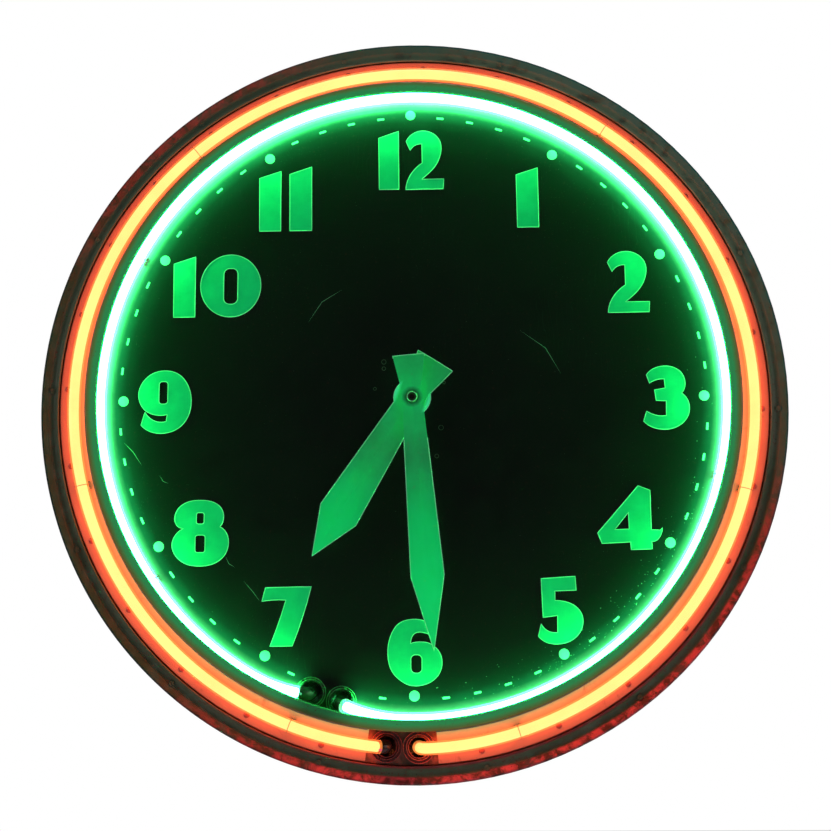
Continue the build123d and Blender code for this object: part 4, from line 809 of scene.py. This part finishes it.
# ---- pale beads along the edges of the numerals and the hands: painted highlights ----
STEP = 2.0 * MM
FRONT_FACING = -0.6  # greatest Y of a front face's normal
BEAD_SIDES = 6


def top_edges(node, reach):
    """Closed runs of points along the front edges of a node, outside a radius from the hands' axis."""
    spots, edges = {}, {}
    mesh = node.data

    def spot(index):
        p = node.matrix_world @ mesh.vertices[index].co
        key = (round(p.x, 5), round(p.y, 5), round(p.z, 5))
        spots[key] = p
        return key

    turned = node.matrix_world.to_3x3()
    for face in mesh.polygons:
        if (turned @ face.normal).normalized().y > FRONT_FACING:
            continue
        corners = [spot(i) for i in face.vertices]
        for a, b in zip(corners, corners[1:] + corners[:1]):
            if a != b:
                edges[a, b] = True
    ahead = {a: b for a, b in edges if (b, a) not in edges}
    loops = []
    while ahead:
        start = at = next(iter(ahead))
        loop = []
        while at in ahead:
            loop.append(spots[at])
            at = ahead.pop(at)
        if at == start and min(math.hypot(p.x, p.z) for p in loop) > reach:
            loops.append(loop)
    return loops


def outer_runs(corners, radius):
    """The open runs of a closed run that lie outside a radius from the hands' axis."""
    loop = []
    for a, b in zip(corners, corners[1:] + corners[:1]):
        steps = max(1, round((b - a).length / STEP))
        loop += [a.lerp(b, n / steps) for n in range(steps)]
    far = [math.hypot(p.x, p.z) > radius for p in loop]
    if all(far):
        return [loop + loop[:1]]
    if not any(far):
        return []
    first = next(n for n in range(len(loop)) if far[n] and not far[n - 1])
    runs, run = [], []
    for n in range(len(loop)):
        k = (first + n) % len(loop)
        if far[k]:
            run.append(loop[k])
        elif run:
            runs.append(run)
            run = []
    return [r for r in [*runs, run] if len(r) > 1]


def bead(runs, radius):
    """Round beads along runs of points, each capped at its ends, as vertices and faces."""
    verts, faces = [], []
    for run in runs:
        first = len(verts)
        closed = (run[0] - run[-1]).length < 1e-7
        for n, point in enumerate(run):
            before = run[n - 1] if n else (run[-2] if closed else point)
            after = run[n + 1] if n < len(run) - 1 else (run[1] if closed else point)
            side = (after - before).cross(Vector((0, 1, 0))).normalized()
            up = side.cross(after - before).normalized()
            for k in range(BEAD_SIDES):
                a = 2 * math.pi * (k + 0.5) / BEAD_SIDES
                verts.append(point + (side * math.cos(a) + up * math.sin(a)) * radius)
        for n in range(len(run) - 1):
            row = first + n * BEAD_SIDES
            for k in range(BEAD_SIDES):
                a, b = row + k, row + (k + 1) % BEAD_SIDES
                faces.append((a, b, b + BEAD_SIDES, a + BEAD_SIDES))
        faces.append(tuple(range(first, first + BEAD_SIDES))[::-1])
        faces.append(tuple(range(len(verts) - BEAD_SIDES, len(verts))))
    return verts, faces


def ring_points(centre, radius, steps):
    """A closed run of points round a centre, facing the front."""
    turns = [2 * math.pi * n / steps for n in range(steps + 1)]
    return [centre + Vector((math.sin(a) * radius, 0, math.cos(a) * radius)) for a in turns]


for name, node, hub, start, radius, finish, body, slot_name in (
    ("numeral_outlines", "dial_numerals", 0, 0, 0.36 * MM, "outlines", "case", "dial_paint"),
    ("hour_hand_edge", "hour_hand", 8 * MM, 15.9 * MM, 0.38 * MM, "edges", "hour_work", "hand_paint"),
    ("minute_hand_edge", "minute_hand", 8 * MM, 37 * MM, 0.38 * MM, "edges", "minute_work", "hand_paint"),
):
    runs = [run for loop in top_edges(nodes[node], hub) for run in outer_runs(loop, start)]
    dress(mesh_object(name, *bead(runs, radius)), finish, body)

# a pale ring round the nut's face: a painted highlight
NUT_FACE = 0.1635
NUT_RING = 4.1 * MM
NUT_BEAD = 0.3 * MM
ring = ring_points(Vector((0, -NUT_FACE, 0)), NUT_RING, 48)
dress(mesh_object("hand_nut_edge", *bead([ring], NUT_BEAD)), "nut_edge", "minute_work")

# ---- pale glazed beads round the electrode cups: painted highlights ----
CUP_BEAD = 0.28 * MM

for row, circle, ends, face, rings, finish in (
    # circle of the cup centres, their turns, height of their faces, radii of the edges in mm
    ("outer", OUTER_CIRCLE, OUTER_ENDS, 0.1476, (13.4, 10.8, 8.9), "cup_edge_red"),
    ("inner", 0.2670, INNER_ENDS, 0.1520, (12.8, 10.8), "cup_edge_green"),
):
    for side, end in zip(("left", "right"), ends):
        loops = [ring_points(place(circle, end, face), r * MM, 60) for r in rings]
        name = f"{row}_cup_edges_{side}"
        dress(mesh_object(name, *bead(loops, CUP_BEAD)), finish, "case")

# ---- dust, bubbles and scratches on the dial; dust near the tube painted as lit ----
DIAL_FACE = 0.150
CRUMB_SIDES = 7
BRIGHT_CRUMBS = 170
DULL_CRUMBS = 260
BRIGHT_INNER = 0.225
BUBBLE_BEAD = 0.22 * MM
SCRATCH_STEPS = 6
chance = random.Random(7)


def fleck(radius, turn, size):
    """A low irregular crumb: the corners of its foot and its crown."""
    centre = place(radius, turn, DIAL_FACE)
    corners = []
    for k in range(CRUMB_SIDES):
        a = 2 * math.pi * k / CRUMB_SIDES + chance.uniform(-0.3, 0.3)
        out = size * chance.uniform(0.6, 1.2)
        corners.append(centre + Vector((math.cos(a) * out, 0, math.sin(a) * out)))
    return corners, centre + Vector((0, -size * 0.5, 0))


def flecks(name, spots, finish):
    """One piece of many crumbs, at spots of radius, turn and size."""
    verts, faces = [], []
    for radius, turn, size in spots:
        corners, crown = fleck(radius, turn, size)
        first = len(verts)
        verts += [*corners, crown]
        for k in range(CRUMB_SIDES):
            faces.append((first + k, first + (k + 1) % CRUMB_SIDES, first + CRUMB_SIDES))
        faces.append(tuple(range(first, first + CRUMB_SIDES))[::-1])
    dress(mesh_object(name, verts, faces), finish, "case")


near_tube = [
    (0.264 - abs(chance.gauss(0, 0.011)), 140 + chance.gauss(0, 22), chance.uniform(0.12, 0.42) * MM)
    for _ in range(BRIGHT_CRUMBS)
]
all_over = [
    (0.266 * math.sqrt(chance.random()), chance.uniform(0, 360), chance.uniform(0.1, 0.28) * MM)
    for _ in range(DULL_CRUMBS)
]
# dust near the tube gets the brighter green finish and dust elsewhere the dull one: painted tube light on a
# lit copy of one dust
flecks("dial_dust_bright", [s for s in near_tube if s[0] > BRIGHT_INNER], "specks")
flecks("dial_dust_dull", all_over, "dull_specks")

# x, z and radius, in mm
BUBBLES = ((-25, 33, 2.0), (-25, 27, 1.6), (25, -26, 2.1), (21, -51, 1.7), (-33, 9, 1.3), (28, 14, 1.2))
bubbles = [ring_points(Vector((x * MM, -DIAL_FACE, z * MM)), size * MM, 24) for x, z, size in BUBBLES]
dress(mesh_object("dial_bubbles", *bead(bubbles, BUBBLE_BEAD)), "dull_specks", "case")

# start, bend and end as x and z, in mm
SCRATCHES = (
    ((-254, -37), (-246, -45), (-238, -57)),
    ((-147, -158), (-139, -167), (-133, -175)),
    ((-163, -137), (-160, -143), (-155, -146)),
    ((-222, -66), (-219, -71), (-214, -73)),
    ((96, 60), (118, 44), (131, 21)),
    ((-92, 70), (-80, 88), (-62, 99)),
)
for number, spots in enumerate(SCRATCHES):
    start, bend, end = [Vector((x * MM, -DIAL_FACE, z * MM)) for x, z in spots]
    steps = [start.lerp(bend, n / SCRATCH_STEPS) for n in range(SCRATCH_STEPS)]
    steps += [bend.lerp(end, n / SCRATCH_STEPS) for n in range(SCRATCH_STEPS + 1)]
    widths = [0.02 * MM + 0.16 * MM * math.sin(math.pi * n / (len(steps) - 1)) for n in range(len(steps))]
    dress(pipe(f"dial_scratch_{number}", steps, widths), "specks", "case")

# ---- floor ----
FLOOR_DROP = 0.75  # below the lowest point of the clock
FLOOR_SIDE = 6.0
FLOOR_GLOW = 0.62
floor_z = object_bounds()[0].z - FLOOR_DROP
side = FLOOR_SIDE / 2
floor = mesh_object(
    "floor", [(-side, -side, floor_z), (side, -side, floor_z), (side, side, floor_z), (-side, side, floor_z)],
    [(0, 1, 2, 3)], smooth=False,
)
pale = Finish("pale_floor", Roughness=0.8, Emission_Color=(1, 1, 1, 1))
pale.feed("Base Color", pale.ramp(pale.noise(3, 4), (0.3, (0.78, 0.78, 0.77)), (0.7, (0.82, 0.82, 0.81))))
camera_rays = pale.tree.nodes.new("ShaderNodeLightPath").outputs["Is Camera Ray"]
pale.feed("Emission Strength", pale.times(camera_rays, FLOOR_GLOW))
floor.data.materials.append(pale.material)
